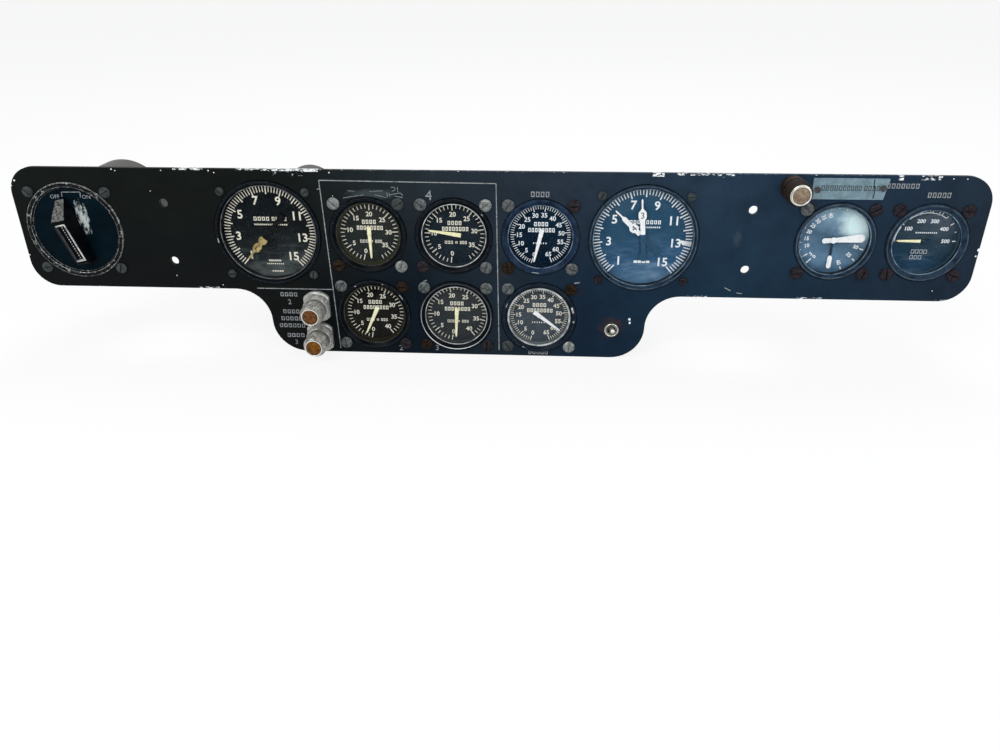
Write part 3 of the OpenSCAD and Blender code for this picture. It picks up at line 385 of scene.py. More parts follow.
# Single chips: place along and up the panel, and radius, in millimetres
CHIPS = [(-322.5, 37.6, 0.8), (-325.6, 33.9, 0.5), (-247.4, 46.6, 0.6), (-244.9, 45.6, 0.5),
         (-210.9, 46.2, 0.5), (-175.9, 46.4, 0.6), (-172, 45, 0.5), (-88, 45.7, 0.6),
         (-326.4, -19.3, 0.6), (375.4, -4.5, 1.5), (374, -9, 0.8), (345.4, 45.9, 0.5),
         (354.7, 45.8, 0.6), (335.7, 46.6, 0.6), (-221.6, 31, 0.4), (-87, 29, 0.4),
         (350, -36, 0.5), (-214, -34, 0.4), (-179, -41, 0.5), (132.3, -63.2, 1.1),
         (132.7, -66, 1.1)]
worn_places = []
for rim_z, side, stretches in ((panel_high.z, 1, WORN_TOP), (WINGS_LOW, -1, WORN_LOW)):
    over_rim = add_node(enamel, "ShaderNodeMath", {0: axes.outputs["Z"], 1: rim_z},
                        operation="SUBTRACT")
    inward = add_node(enamel, "ShaderNodeMath", {0: over_rim.outputs[0], 1: -side},
                      operation="MULTIPLY").outputs[0]
    for middle, half, depth, bareness in stretches:
        inside = add_node(enamel, "ShaderNodeMath", {0: axes.outputs["X"], 1: middle * MM,
                          2: half * MM}, operation="COMPARE")
        near = add_node(enamel, "ShaderNodeMapRange", {"Value": inward, "From Min": depth * MM,
                        "From Max": depth * 1.5 * MM, "To Min": bareness, "To Max": 0.0})
        worn_places.append(add_node(enamel, "ShaderNodeMath", {0: inside.outputs[0],
                           1: near.outputs[0]}, operation="MULTIPLY").outputs[0])
for x, z, radius in CHIPS:
    gap = add_node(enamel, "ShaderNodeVectorMath", {0: where, 1: (x * MM, face_y, z * MM)},
                   operation="DISTANCE")
    worn_places.append(add_node(enamel, "ShaderNodeMapRange", {"Value": gap.outputs["Value"],
                       "From Min": 0.0, "From Max": radius * 2 * MM, "To Min": 1.0,
                       "To Max": 0.0}).outputs[0])
most_worn = worn_places[0]
for worn_place in worn_places[1:]:
    most_worn = add_node(enamel, "ShaderNodeMath", {0: most_worn, 1: worn_place},
                         operation="MAXIMUM").outputs[0]
print(len(worn_places), "worn places on the enamel")

# %% Bare metal and relief
# Grain of a flake's ragged rim, and how it is stretched along the panel
RAGGED_MM, RAGGED_STRETCH = 1.7, (0.5, 1, 1)
# Width of the sprayed enamel's orange peel, and thickness of the enamel at a chip
ORANGE_PEEL_MM, ENAMEL_T_MM = 1.1, 0.03
drawn_out = add_node(enamel, "ShaderNodeMapping", {"Vector": where, "Scale": RAGGED_STRETCH})
ragged = add_node(enamel, "ShaderNodeTexNoise", {"Vector": drawn_out.outputs[0],
                  "Scale": 1 / (RAGGED_MM * MM), "Detail": 6.0, "Roughness": 0.72})
broken = add_node(enamel, "ShaderNodeMath", {0: most_worn, 1: ragged.outputs[0]}, operation="ADD")
bare = add_node(enamel, "ShaderNodeMapRange", {"Value": broken.outputs[0], "From Min": 1.08,
                "From Max": 1.13})
colour = add_node(enamel, "ShaderNodeMix", {0: bare.outputs[0], 6: colour, 7: srgb("#e8eaea")},
                  data_type="RGBA").outputs[2]
orange_peel = add_node(enamel, "ShaderNodeTexNoise", {"Vector": where,
                       "Scale": 1 / (ORANGE_PEEL_MM * MM), "Detail": 4.0})
height = add_node(enamel, "ShaderNodeMath", {0: bare.outputs[0], 1: -2.0,
                  2: orange_peel.outputs[0]}, operation="MULTIPLY_ADD")
bump = add_node(enamel, "ShaderNodeBump", {"Height": height.outputs[0], "Strength": 0.5,
                "Distance": ENAMEL_T_MM * MM})
enamel.node_tree.links.new(colour, enamel_shader.inputs["Base Color"])
enamel.node_tree.links.new(bump.outputs[0], enamel_shader.inputs["Normal"])

# %% [markdown]
# ## Screw finishes
# The slotted screws are plated brass, steel gone to rust, or blackened steel. In the photograph's
# frame a head is about a dozen pixels wide, so two tones and specks of a millimetre show its wear,
# where a map of fine scratches would be lost.

# %% Screw finishes
# Brass screws plated grey: dull light metal with brown stains in the slots
plated_screw = finish("plated_screw", ("#454b4e", "#656b6c"), 3, ("#26221d", 1.2, 0.53, 0.0),
                      roughness=0.5, metallic=0.35, Specular_IOR_Level=0.3)
bright_screw = finish("bright_screw", ("#656a69", "#8f9492"), 3, ("#33302b", 1.2, 0.54, 0.0),
                      roughness=0.45, metallic=0.4, Specular_IOR_Level=0.3)
# Steel screws gone to rust: brown or dark purple, dry and rough
rusty_screw = finish("rusty_screw", ("#1c1612", "#34281e"), 2.6, ("#0e0c0b", 1.0, 0.52, 0.0),
                     roughness=0.9, Specular_IOR_Level=0.05)
red_rust = finish("red_rust_screw", ("#1e1c20", "#363035"), 2.6, ("#111014", 1.0, 0.54, 0.0),
                  roughness=0.9, Specular_IOR_Level=0.05)
# Blackened steel: dark, with grey where the driver has rubbed
black_screw = finish("dulled_screw", ("#2a2f30", "#43494a"), 3, ("#15181a", 1.1, 0.56, 0.0),
                     roughness=0.6, metallic=0.2, Specular_IOR_Level=0.15)

# %% [markdown]
# ## Selector finishes
# The selector's rim is enamelled cast aluminium, its knob is moulded phenolic, and the slot's floor
# is painted cream. Wear sits along edges and where fingers rub, so most pieces get a plain and a
# rubbed finish, and further down the shape tells which face takes which.

# %% Selector finishes
# Rim: black enamel, chipped to cast aluminium on its face and rubbed through along its edges
chipped_rim = finish("chipped_rim_enamel", ("#050709", "#15191b"), 3.2,
                     ("#8b8f8b", 2.8, 0.575, 0.4), roughness=0.5, Specular_IOR_Level=0.05)
rim_edge = finish("rubbed_rim_edge", ("#0d1012", "#868a87"), 3.4, ("#d9dbd6", 1.8, 0.56, 0.5),
                  roughness=0.45, metallic=0.2)
# Moulded phenolic knob, worn pale where fingers rub
phenolic = finish("black_phenolic", ("#020304", "#0a0d10"), 5, ("#303438", 1.0, 0.68, 0.0),
                  roughness=0.5, Specular_IOR_Level=0.04)
rubbed_phenolic = finish("rubbed_phenolic", ("#2e2f30", "#85857f"), 2.0,
                         ("#0e1012", 1.4, 0.53, 0.0), roughness=0.6, Specular_IOR_Level=0.1)
# Cream paint on the floor of the knob's slot, worn to grey
worn_cream = finish("worn_cream_paint", ("#8b8e90", "#c6c6c2"), 2.6, ("#3a3d40", 1.2, 0.6, 0.0),
                    roughness=0.6)

# %% [markdown]
# ## Finishes behind the plate
# The cases are sprayed enamel, the connectors are plated and the movements are bare castings.
# Nobody handles these, so most have broad patches close in tone, and few specks.

# %% Finishes behind the plate
# Sprayed enamel of the cases: olive grey, or black with a few chips
olive_can = finish("olive_grey_enamel", ("#25241f", "#2e2c27"), 12, ("#1a1916", 2.4, 0.68, 0.0),
                   roughness=0.5)
black_can = finish("black_case_enamel", ("#1b1d20", "#26292d"), 14, ("#6a6a66", 1.8, 0.71, 0.4),
                   roughness=0.42)
# Olive chromate over plated connector shells: a dull, yellowish metal
plated_plug = finish("olive_plated_plug", ("#7d785c", "#938c6a"), 5, ("#4c4936", 1.2, 0.64, 0.3),
                     roughness=0.42, metallic=0.7)
# Cast aluminium of the movements: plain light grey metal
cast_alloy = finish("cast_alloy", ("#8b8c8a", "#9c9d9a"), 6, roughness=0.5, metallic=0.8)
# Turned steel: light and dark turning marks with brown stains
turned_steel = finish("turned_steel", ("#3f4743", "#7d837d"), 2.4, ("#5b4a3c", 1.0, 0.60, 0.0),
                      roughness=0.4, metallic=0.7)
# Resin bonded paper of the contact deck, and the switch's moulded resin: matt browns
resin_board = finish("resin_board", ("#8a6a34", "#7a5a2a"), 8, roughness=0.55)
switch_resin = finish("switch_resin", ("#3b2a20", "#4a362a"), 8, roughness=0.5)

# %% [markdown]
# ## Lamp finishes
# A press-to-test lamp is turned brass under nickel plate, which dulls and spots with age, and the
# belly tank lamp's collar is steel gone to rust. A plated finish is only partly metallic, because
# grime over metal gives back less of the room than clean metal does.

# %% Lamp finishes
# Nickel plate on brass: dull silver grey with brown spots, lighter on the flanges, which face the
# light, and bright where fingers rub it
dull_nickel = finish("dull_nickel", ("#6a6a66", "#b2b1ab"), 2.6, ("#453c33", 1.0, 0.61, 0.0),
                     roughness=0.38, metallic=0.55)
lamp_plate_lit = finish("scuffed_lamp_plating_painted_lighter", ("#7f807c", "#b9bab5"), 3, ("#5a5650", 1.0, 0.62, 0.0),
                    roughness=0.4, metallic=0.5)
nickel = finish("rubbed_nickel", ("#b9b8b1", "#e2e1da"), 3, ("#7b6a52", 1.1, 0.66, 0.0),
                roughness=0.3, metallic=0.7)
# Steel gone to rust: nearly black, with paler brown spots
rusty_collar = finish("rusty_steel_collar", ("#120e0b", "#2a1f18"), 2.4,
                      ("#5c4433", 1.0, 0.63, 0.0), roughness=0.7, Specular_IOR_Level=0.15)

# %% [markdown]
# ## Label and print finishes
# What is printed, painted or wiped into a line is a thin matt paint of its own. The marks are made
# as flat geometry further down, so each paint here is one plain finish, and no picture is needed.

# %% Label and print finishes
# Grey-blue enamel of the label plate, dusty and spotted
label_enamel = finish("pale_blue_enamel", ("#587079", "#718b97"), 5, ("#3b464c", 1.2, 0.62, 0.0),
                      roughness=0.6)
dark_rivet = finish("dark_rivet", ("#2a2b2d", "#45423f"), 2, roughness=0.6, metallic=0.3)
# Aged paint of figures: cream under most glasses, bluish white under the right-hand ones
figure_paint = finish("cream_figure_paint", ("#f4f1e2", "#dfdbc8"), 2, roughness=0.6)
blue_white_paint = finish("white_figure_paint", ("#fbfeff", "#e4eef4"), 3, roughness=0.6)
# Paint wiped into engraved lines, and the dark paint of small numerals
engraved_paint = finish("engraved_line_paint", ("#6f7376", "#9da1a3"), 3,
                        ("#2b2f33", 1.0, 0.57, 0.0), roughness=0.7)
dark_paint = finish("dark_numeral_paint", ("#16191c", "#22262a"), 2, roughness=0.7)
print(len(bpy.data.materials), "materials so far")

# %% [markdown]
# ## Lenses and cover glasses
# The lamps' lenses are cast amber glass, which stays brown while the bulb is off, so a glossy paint
# shows them well. A cover glass only dims what lies behind it a little. A low alpha does that
# without the many light bounces of true glass, and the colour of its film is the dust on it.

# %% Amber lenses
# Dark brown with an orange heart, wet looking
amber = finish("amber_lens", ("#3c1f09", "#6f4214"), 2.4, ("#20130a", 1.4, 0.6, 0.0),
               roughness=0.25, Specular_IOR_Level=0.2)
orange_amber = finish("orange_amber_lens", ("#432103", "#80500c"), 2.6, ("#1f1204", 1.4, 0.6, 0.0),
                      roughness=0.25, Specular_IOR_Level=0.15)
# The belly lamp's lens is bleached and dusty
bleached_lens = finish("bleached_amber_lens", ("#6a5240", "#90806c"), 2.4,
                       ("#40301f", 1.4, 0.62, 0.0), roughness=0.3, Specular_IOR_Level=0.3)

# %% Cover glass
FILM_PATCH_MM = 14
glass, glass_shader = new_material("clear_cover_glass", Roughness=0.05, Alpha=0.05,
                                   Specular_IOR_Level=0.0)
over_glass = add_node(glass, "ShaderNodeTexCoord").outputs["Object"]
smear = add_node(glass, "ShaderNodeTexNoise", {"Vector": over_glass,
                 "Scale": 1 / (FILM_PATCH_MM * MM), "Detail": 4.0})
film = add_node(glass, "ShaderNodeMapRange", {"Value": smear.outputs[0], "From Min": 0.4,
                "From Max": 0.7, "To Min": 0.0, "To Max": 0.05})
pale = add_node(glass, "ShaderNodeCombineColor", {0: film.outputs[0], 1: film.outputs[0],
                2: film.outputs[0]})
glass.node_tree.links.new(pale.outputs[0], glass_shader.inputs["Base Color"])

# %% [markdown]
# ## Paint that changes across a disc or along a hand
# The lacquer of a dial drifts across the disc, from a bluish edge to an olive or grey one, and its
# rim has faded to another tone. Soft level streaks of a paler tone are a painted reflection, such
# as a cover glass shows. A hand may be black at its root and light further out. Both are distances
# measured in the material, so no picture is needed.

# %% Paint of a dial
dial_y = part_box("flow_left_dial")[0].y
CLOUD_MM, REFLECTION_STREAK_MM = 16, 18
# The painted reflection lies in level streaks, so its pattern is squeezed in height
REFLECTION_STRETCH = (1, 1, 4)
RIM_BLEND_MM = 0.4


def spoke_place(turn, reach):
    """Flat place at a distance from the centre and an angle clockwise from the top."""
    return Vector((sin(radians(turn)) * reach, cos(radians(turn)) * reach))


def dial_paint(name, centre, radius, towards, tones, rim, reflection_strength=0.0, reflection_tone="#a9b8c6", wave=0.14,
               reflection_patch=None):
    """Matt lacquer that runs through tones across a dial, towards an angle, with streaks of painted
    reflection.

    rim: distance from the centre where the faded rim begins, and its colour. The last argument
    gives the turn and distance of a pale patch of painted reflection, its half sizes and colour.
    """
    mat, shader = new_material(name, Roughness=0.75, Specular_IOR_Level=0.02)
    rim_from, rim_tone = rim
    where = add_node(mat, "ShaderNodeTexCoord").outputs["Object"]
    cloud = add_node(mat, "ShaderNodeTexNoise", {"Vector": where, "Scale": 1 / (CLOUD_MM * MM),
                     "Detail": 6.0, "Roughness": 0.6})
    sway = add_node(mat, "ShaderNodeMapRange", {"Value": cloud.outputs[0], "From Min": 0.3,
                    "From Max": 0.7, "To Min": -wave, "To Max": wave})
    share = add_node(mat, "ShaderNodeMapRange", {"Value": reach_along(mat, where, centre, towards),
                     "From Min": -radius * MM, "From Max": radius * MM})
    at = add_node(mat, "ShaderNodeMath", {0: share.outputs[0], 1: sway.outputs[0]}, operation="ADD")
    ramp = add_node(mat, "ShaderNodeValToRGB", {0: at.outputs[0]})
    stops = ramp.color_ramp.elements
    for i, code in enumerate(tones):
        stop = stops[i] if i < 2 else stops.new(1.0)
        stop.position = i / (len(tones) - 1)
        stop.color = srgb(code)
    outward = add_node(mat, "ShaderNodeVectorMath", {0: where, 1: (centre.x, dial_y, centre.y)},
                       operation="DISTANCE")
    faded = add_node(mat, "ShaderNodeMapRange", {"Value": outward.outputs["Value"],
                     "From Min": (rim_from - RIM_BLEND_MM) * MM,
                     "From Max": (rim_from + RIM_BLEND_MM) * MM})
    lacquer = add_node(mat, "ShaderNodeMix", {0: faded.outputs[0], 6: ramp.outputs[0],
                       7: srgb(rim_tone)}, data_type="RGBA")
    flat = add_node(mat, "ShaderNodeMapping", {"Vector": where, "Scale": REFLECTION_STRETCH})
    streaks = add_node(mat, "ShaderNodeTexNoise", {"Vector": flat.outputs[0],
                       "Scale": 1 / (REFLECTION_STREAK_MM * MM), "Detail": 5.0, "Distortion": 0.8})
    # Painted reflection: pale level streaks over the half of the dial that lies towards the angle
    film = add_node(mat, "ShaderNodeMapRange", {"Value": streaks.outputs[0], "From Min": 0.5,
                    "From Max": 0.78, "To Max": reflection_strength})
    reflection_side = add_node(mat, "ShaderNodeMapRange", {"Value": share.outputs[0], "From Min": 0.45})
    reflection_share = add_node(mat, "ShaderNodeMath", {0: film.outputs[0], 1: reflection_side.outputs[0]},
                       operation="MULTIPLY")
    colour = add_node(mat, "ShaderNodeMix", {0: reflection_share.outputs[0], 6: lacquer.outputs[2],
                      7: srgb(reflection_tone)}, data_type="RGBA")
    # Painted reflection: a pale patch laid over the lacquer
    if reflection_patch:
        turn, reach, halves, code = reflection_patch
        reflection_spot = broken_oval(mat, where, centre + spoke_place(turn, reach) * MM, halves, turn,
                            cloud.outputs[0], spread=0.8)
        colour = add_node(mat, "ShaderNodeMix", {0: reflection_spot, 6: colour.outputs[2], 7: srgb(code)},
                          data_type="RGBA")
    mat.node_tree.links.new(colour.outputs[2], shader.inputs["Base Color"])
    return mat


# %% Paint of a hand
HAND_PATCH_MM, HAND_BLEND_MM = 3, 0.15


def hand_finish(name, centre, turn, light_from, tones, root):
    """Paint of a hand: a root colour up to a distance from the hinge, then two aged light tones."""
    mat, shader = new_material(name, Roughness=0.6, Specular_IOR_Level=0.1)
    where = add_node(mat, "ShaderNodeTexCoord").outputs["Object"]
    patches = add_node(mat, "ShaderNodeTexNoise", {"Vector": where,
                       "Scale": 1 / (HAND_PATCH_MM * MM), "Detail": 5.0})
    tone = add_node(mat, "ShaderNodeMapRange", {"Value": patches.outputs[0], "From Min": 0.4,
                    "From Max": 0.6})
    light = add_node(mat, "ShaderNodeMix", {0: tone.outputs[0], 6: srgb(tones[0]),
                     7: srgb(tones[1])}, data_type="RGBA")
    painted = add_node(mat, "ShaderNodeMapRange", {"Value": reach_along(mat, where, centre, turn),
                       "From Min": (light_from - HAND_BLEND_MM) * MM,
                       "From Max": (light_from + HAND_BLEND_MM) * MM})
    colour = add_node(mat, "ShaderNodeMix", {0: painted.outputs[0], 6: srgb(root),
                      7: light.outputs[2]}, data_type="RGBA")
    mat.node_tree.links.new(colour.outputs[2], shader.inputs["Base Color"])
    return mat


# %% [markdown]
# ## From a flat drawing to the panel
# Dials, figures and lines are drawn flat in millimetres, with the third axis as the height over the
# plate's front. One matrix then stands the drawing up on the panel, so the finished object keeps
# its origin at the model's origin, as the CAD pieces do.

# %% Placing helpers
def on_panel(place, turn=0.0):
    """Matrix from a flat drawing in millimetres to the panel's front at a place in metres."""
    return (Matrix.Translation((place.x, face_y, place.y)) @ Matrix.Rotation(pi / 2, 4, "X")
            @ Matrix.Rotation(-radians(turn), 4, "Z") @ Matrix.Scale(MM, 4))


def hinge_place(joint_name):
    """Where a hinge stands on the panel, as (along, up) in metres."""
    joint = next(j for j in frame["joints"] if j["name"] == joint_name)
    return Vector((joint["pos_m"][0], joint["pos_m"][2]))


def height_over_panel(node):
    """How far a CAD node stands out over the plate's front, in millimetres."""
    return (face_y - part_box(node)[0].y) / MM


def resting_turn(node):
    """Where a hand points at rest, in degrees clockwise from the top: at its farthest corner."""
    hub = hinge_place(node + "_turn")
    reaches = [Vector((v.co.x, v.co.z)) - hub for v in frame["nodes"][node].data.vertices]
    tip = max(reaches, key=lambda reach: reach.length)
    return degrees(atan2(tip.x, tip.y))


def nearest(places, at):
    """Name of the place that lies nearest to a point of the panel."""
    return min(places, key=lambda name: (places[name] - Vector((at.x, at.z))).length)


# %% [markdown]
# ## From a bmesh to a piece of the part
# Each piece rides on the body that carries it, so it moves with the joints. It takes its materials,
# and hides the CAD nodes that it stands for, if it replaces any.

# %% Making a piece
# Faces that meet at a steeper angle than this keep a sharp edge in the shading, in degrees
SHARP_FROM = 35


def add_piece(name, bm, materials, body, replaced=()):
    """Turns a bmesh into an object that rides on a body, with smooth shading up to an angle."""
    mesh = bpy.data.meshes.new(name)
    bm.to_mesh(mesh)
    bm.free()
    if "custom_normal" in mesh.attributes:
        mesh.attributes.remove(mesh.attributes["custom_normal"])
    for material in materials:
        mesh.materials.append(material)
    for face in mesh.polygons:
        face.use_smooth = True
    mesh.set_sharp_from_angle(angle=radians(SHARP_FROM))
    piece = bpy.data.objects.new(name, mesh)
    bpy.context.collection.objects.link(piece)
    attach(piece, body)
    if replaced:
        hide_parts(*replaced)
    print(name, len(mesh.polygons), "faces")
    return piece


# %% [markdown]
# ## Softened copies of the CAD solids
# A real edge is never perfectly sharp: it catches a line of light. Where a solid's shape is right,
# its mesh is copied, its loose triangles are merged into whole faces, and a Bevel modifier rounds
# every edge above an angle. The copy then stands for the CAD node. The rounded edges may take a
# material of their own, which is how rubbed edges come about, and on the bezels that paler
# material is also a painted highlight.

# %% Softened copies
# Corners closer than this are one, in millimetres. Edges sharper than this are rounded, in degrees
MERGE_MM, ROUND_FROM = 0.002, 32


def softened(node, width_mm, materials, pick=None, edge=-1, segments=2):
    """Copies a CAD node, rounds its edges, and lets pick choose a material index for each face."""
    bm = bmesh.new()
    bm.from_mesh(frame["nodes"][node].data)
    bmesh.ops.remove_doubles(bm, verts=bm.verts, dist=MERGE_MM * MM)
    bmesh.ops.dissolve_limit(bm, angle_limit=radians(1), verts=bm.verts, edges=bm.edges)
    for face in bm.faces:
        face.material_index = pick(face) if pick else 0
    body = frame["nodes"][node]["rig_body"]
    piece = add_piece(node + "_dressed", bm, materials, body, (node,))
    bevel = piece.modifiers.new("edges", "BEVEL")
    bevel.width = width_mm * MM
    bevel.segments = segments
    bevel.limit_method = "ANGLE"
    bevel.angle_limit = radians(ROUND_FROM)
    bevel.harden_normals = False
    bevel.material = edge
    return piece


softened("panel_plate", 0.45, [enamel])

# %% [markdown]
# ## Screws
# Screws have been changed over the years, so no two neighbours need match. The solids of one node
# share one mesh, so each face takes the finish of the screw that it belongs to, which is told by
# the instrument it is nearest to and its quarter there.

# %% Screws
# Finishes of an instrument's screws: lower left, lower right, upper left, upper right
FINISHES = [plated_screw, bright_screw, rusty_screw, red_rust, black_screw]
GREY, BRIGHT, RUST, RED, DARK = range(len(FINISHES))
SMALL_SCREWS = {
    "fuel_pointer_1": (RUST, BRIGHT, BRIGHT, DARK), "fuel_pointer_4": (RED, GREY, GREY, BRIGHT),
    "fuel_pointer_2": (GREY, RED, GREY, RUST), "fuel_pointer_3": (RUST, RED, GREY, GREY),
    "water_pointer_left": (RUST, GREY, GREY, RED),
    "water_pointer_right": (DARK, BRIGHT, GREY, RUST), "belly_pointer_long": (RED, RED, GREY, RED),
    "pressure_pointer": (RED, RED, RED, RED)}
FLOW_SCREWS = {"flow_left_pointer_3": (DARK, DARK, DARK, DARK),
               "flow_right_pointer_3": (RED, RED, DARK, DARK)}
SELECTOR_SCREWS = {"selector": (DARK, DARK, DARK, DARK)}


def screw_picker(finish_of):
    """Chooses a face's finish from the instrument it is nearest to and its quarter there."""
    centres = {name: hinge_place(name + "_turn") for name in finish_of}

    def pick(face):
        at = face.calc_center_median()
        name = nearest(centres, at)
        right = at.x > centres[name].x
        upper = at.z > centres[name].y
        return finish_of[name][right + 2 * upper]
    return pick


softened("gauge_screws", 0.5, FINISHES, screw_picker(SMALL_SCREWS), segments=3)
softened("flow_gauge_screws", 0.4, FINISHES, screw_picker(FLOW_SCREWS), segments=3)
softened("selector_screws", 0.5, FINISHES, screw_picker(SELECTOR_SCREWS), segments=3)

# %% [markdown]
# ## Bezels
# The bezels are spun aluminium under glossy enamel, black at the left and navy towards the right,
# and rubbed grey along their edges. That grey is partly wear and partly painted highlight lines.
# The bevel's own faces take the rubbed finish, so the wear and the painted highlight sit exactly
# where a hand or a cloth meets an edge.

# %% Bezels
BEZEL_FINISHES = [
    finish("black_bezel_enamel", ("#030507", "#0a0f15"), 9, roughness=0.28,
           Specular_IOR_Level=0.03),
    finish("navy_bezel_enamel", ("#0a172a", "#20334b"), 7, roughness=0.3, Specular_IOR_Level=0.05),
    finish("blue_grey_bezel_enamel", ("#101d29", "#2b3d4f"), 7, roughness=0.4,
           Specular_IOR_Level=0.04),
    finish("blue_black_bezel_enamel", ("#060e17", "#16222f"), 6, roughness=0.3,
           Specular_IOR_Level=0.04),
    # Paler edges: partly rubbed metal, partly painted highlight lines along the bezels' edges
    finish("rubbed_bezel_edge_painted_highlight", ("#10151a", "#3e4850"), 2.4, ("#99a1a6", 1.2, 0.63, 0.3),
           roughness=0.4, Specular_IOR_Level=0.1)]
BLACK_ONE, NAVY_ONE, GREY_BLUE_ONE, BLUE_BLACK_ONE, RUBBED_EDGE_AND_HIGHLIGHT = range(len(BEZEL_FINISHES))
BEZEL_OF = {f"fuel_pointer_{i}": BLACK_ONE for i in range(1, 5)}
BEZEL_OF.update({"flow_left_pointer_3": BLACK_ONE, "flow_right_pointer_3": GREY_BLUE_ONE,
                 "water_pointer_left": NAVY_ONE, "water_pointer_right": BLUE_BLACK_ONE,
                 "belly_pointer_long": GREY_BLUE_ONE, "pressure_pointer": GREY_BLUE_ONE})
bezel_places = {name: hinge_place(name + "_turn") for name in BEZEL_OF}


def pick_bezel(face):
    """Chooses a face's enamel from the instrument it is nearest to."""
    return BEZEL_OF[nearest(bezel_places, face.calc_center_median())]


for node in ("flow_bezels", "quantity_bezels", "pressure_bezels"):
    softened(node, 0.35, BEZEL_FINISHES, pick_bezel, edge=RUBBED_EDGE_AND_HIGHLIGHT)

# %% [markdown]
# ## Selector knob and rim
# The knob is moulded phenolic. Fingers have rubbed its steep front facet pale, and its flanks are
# still black. A facet is told by the way it faces, so the finish follows the shape.

# %% Selector knob and rim
selector = hinge_place("selector_turn")
softened("selector_rim", 0.7, [chipped_rim, rim_edge], edge=1, segments=3)
# A facet that leans upwards and forwards by more than this share is the rubbed one
LEANS = 0.3


def pick_knob(face):
    """The facet that slopes up to the ridge is rubbed pale, and the flanks stay black."""
    return int(face.normal.z > LEANS and face.normal.y < -LEANS)


softened("selector_knob", 0.45, [phenolic, rubbed_phenolic], pick_knob)
# How far the knob is turned at rest, in degrees clockwise from straight up
KNOB_TURN = -12.5
# The left side of the knob's frame is worn down to the dark plastic, up to 3 mm from the axis
frame_paint = hand_finish("worn_frame_paint", selector, KNOB_TURN + 90, -3.0,
                          ("#85888a", "#c9c9c5"), "#23272a")
softened("selector_knob_insert", 0.12, [frame_paint])

# %% [markdown]
# ## Lamps, toggle and label plate
# A press-to-test lamp is turned brass under nickel plate. The ring at the front of its cap is what
# a finger presses, so that ring is bright, and the rest is dull or rusty.

# %% Lamps, toggle and label plate
softened("label_plate", 0.1, [label_enamel])
# The flanges take plating painted lighter, because they face the light
softened("lamp_flanges", 0.35, [lamp_plate_lit, nickel], edge=1)
softened("belly_lamp_collar", 0.12, [rusty_collar])


def cap_picker(node, ring_mm):
    """The ring in front of a lamp's cap is rubbed bright, and the rest of the cap is dull."""
    front_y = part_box(node)[0].y + ring_mm * MM
    return lambda face: int(face.calc_center_median().y < front_y)


# Each lamp: metal of its cap, its lens, and depth of the bright ring
for side, cap_metal, lens, ring_mm in (("upper", dull_nickel, amber, 0.6),
                                       ("lower", dull_nickel, orange_amber, 0.6),
                                       ("belly", rusty_collar, bleached_lens, 1.75)):
    cap = "lamp_cap_" + side
    softened(cap, 0.2, [cap_metal, nickel], cap_picker(cap, ring_mm))
    softened("lamp_lens_" + side, 0.3, [lens])
softened("toggle_ring_nut", 0.4, [turned_steel, nickel], edge=1)
softened("toggle_bushing", 0.15, [turned_steel])

# %% [markdown]
# ## Left flow case
# This case is olive grey outside and black inside, where it shows round the dial. A wall that looks
# at the case's own axis is an inner one.

# %% Left flow case
flow_left = hinge_place("flow_left_pointer_3_turn")


def pick_inside(face):
    """Walls that look at the case's axis are black inside, and the rest is olive grey."""
    middle = face.calc_center_median()
    outward = (middle.x - flow_left.x) * face.normal.x + (middle.z - flow_left.y) * face.normal.z
    return int(outward < -1 * MM)


softened("flow_left_case", 0.3, [olive_can, black_can], pick_inside)

# %% [markdown]
# ## Finishes of the other CAD nodes
# These nodes keep their CAD mesh, because they are small, hidden or already right, and only take a
# material. A hand is painted from some distance off its hinge to its tip.

# %% Finishes of the other CAD nodes
DRESS = {
    "label_plate_rivets": dark_rivet, "selector_housing": olive_can,
    "selector_contacts": resin_board, "selector_shaft": turned_steel, "flow_right_case": black_can,
    "flow_glasses": glass, "quantity_glasses": glass, "pressure_glasses": glass,
    "flow_movements": cast_alloy, "quantity_movements": cast_alloy,
    "pressure_movements": cast_alloy, "quantity_cases": black_can, "pressure_cases": black_can,
    "rear_connectors": plated_plug, "lamp_sockets": dull_nickel, "toggle_body": switch_resin,
    "toggle_lever": nickel}
CREAM, WHITE, YELLOWED = ("#fffbd6", "#f3edbd"), ("#ffffff", "#eef4f6"), ("#c3b27b", "#8f7d4b")
# The roots of the right flow hands take the painted sky reflection blue of their dial
BLACK, FLOW_REFLECTION_BLUE, PRESSURE_BLUE = "#0a0c0e", "#2c4e69", "#22384a"
WHOLE = -20
# The light paint of each hand: where it begins in millimetres from the hinge, its tones, and the
# colour of the root and tail, which may be that of the dial. WHOLE begins behind every tail.
HANDS = {"flow_left_pointer_3": (7.0, YELLOWED, BLACK),
         "flow_left_pointer_4": (7.0, YELLOWED, BLACK),
         "flow_right_pointer_3": (2.2, WHITE, FLOW_REFLECTION_BLUE),
         "flow_right_pointer_4": (3.0, WHITE, FLOW_REFLECTION_BLUE),
         "belly_pointer_short": (11.8, WHITE, PRESSURE_BLUE),
         "pressure_pointer": (2.4, CREAM, PRESSURE_BLUE)}
HANDS.update({f"fuel_pointer_{i}": (WHOLE, CREAM, BLACK) for i in range(1, 5)})
HANDS.update({node: (WHOLE, WHITE, BLACK)
              for node in ("water_pointer_left", "water_pointer_right", "belly_pointer_long")})
for node, (light_from, tones, root) in HANDS.items():
    DRESS[node] = hand_finish(node + "_paint", hinge_place(node + "_turn"), resting_turn(node),
                              light_from, tones, root)
for node, material in DRESS.items():
    for holder in frame["nodes"][node].material_slots:
        holder.material = material
print(len(DRESS), "CAD nodes painted")

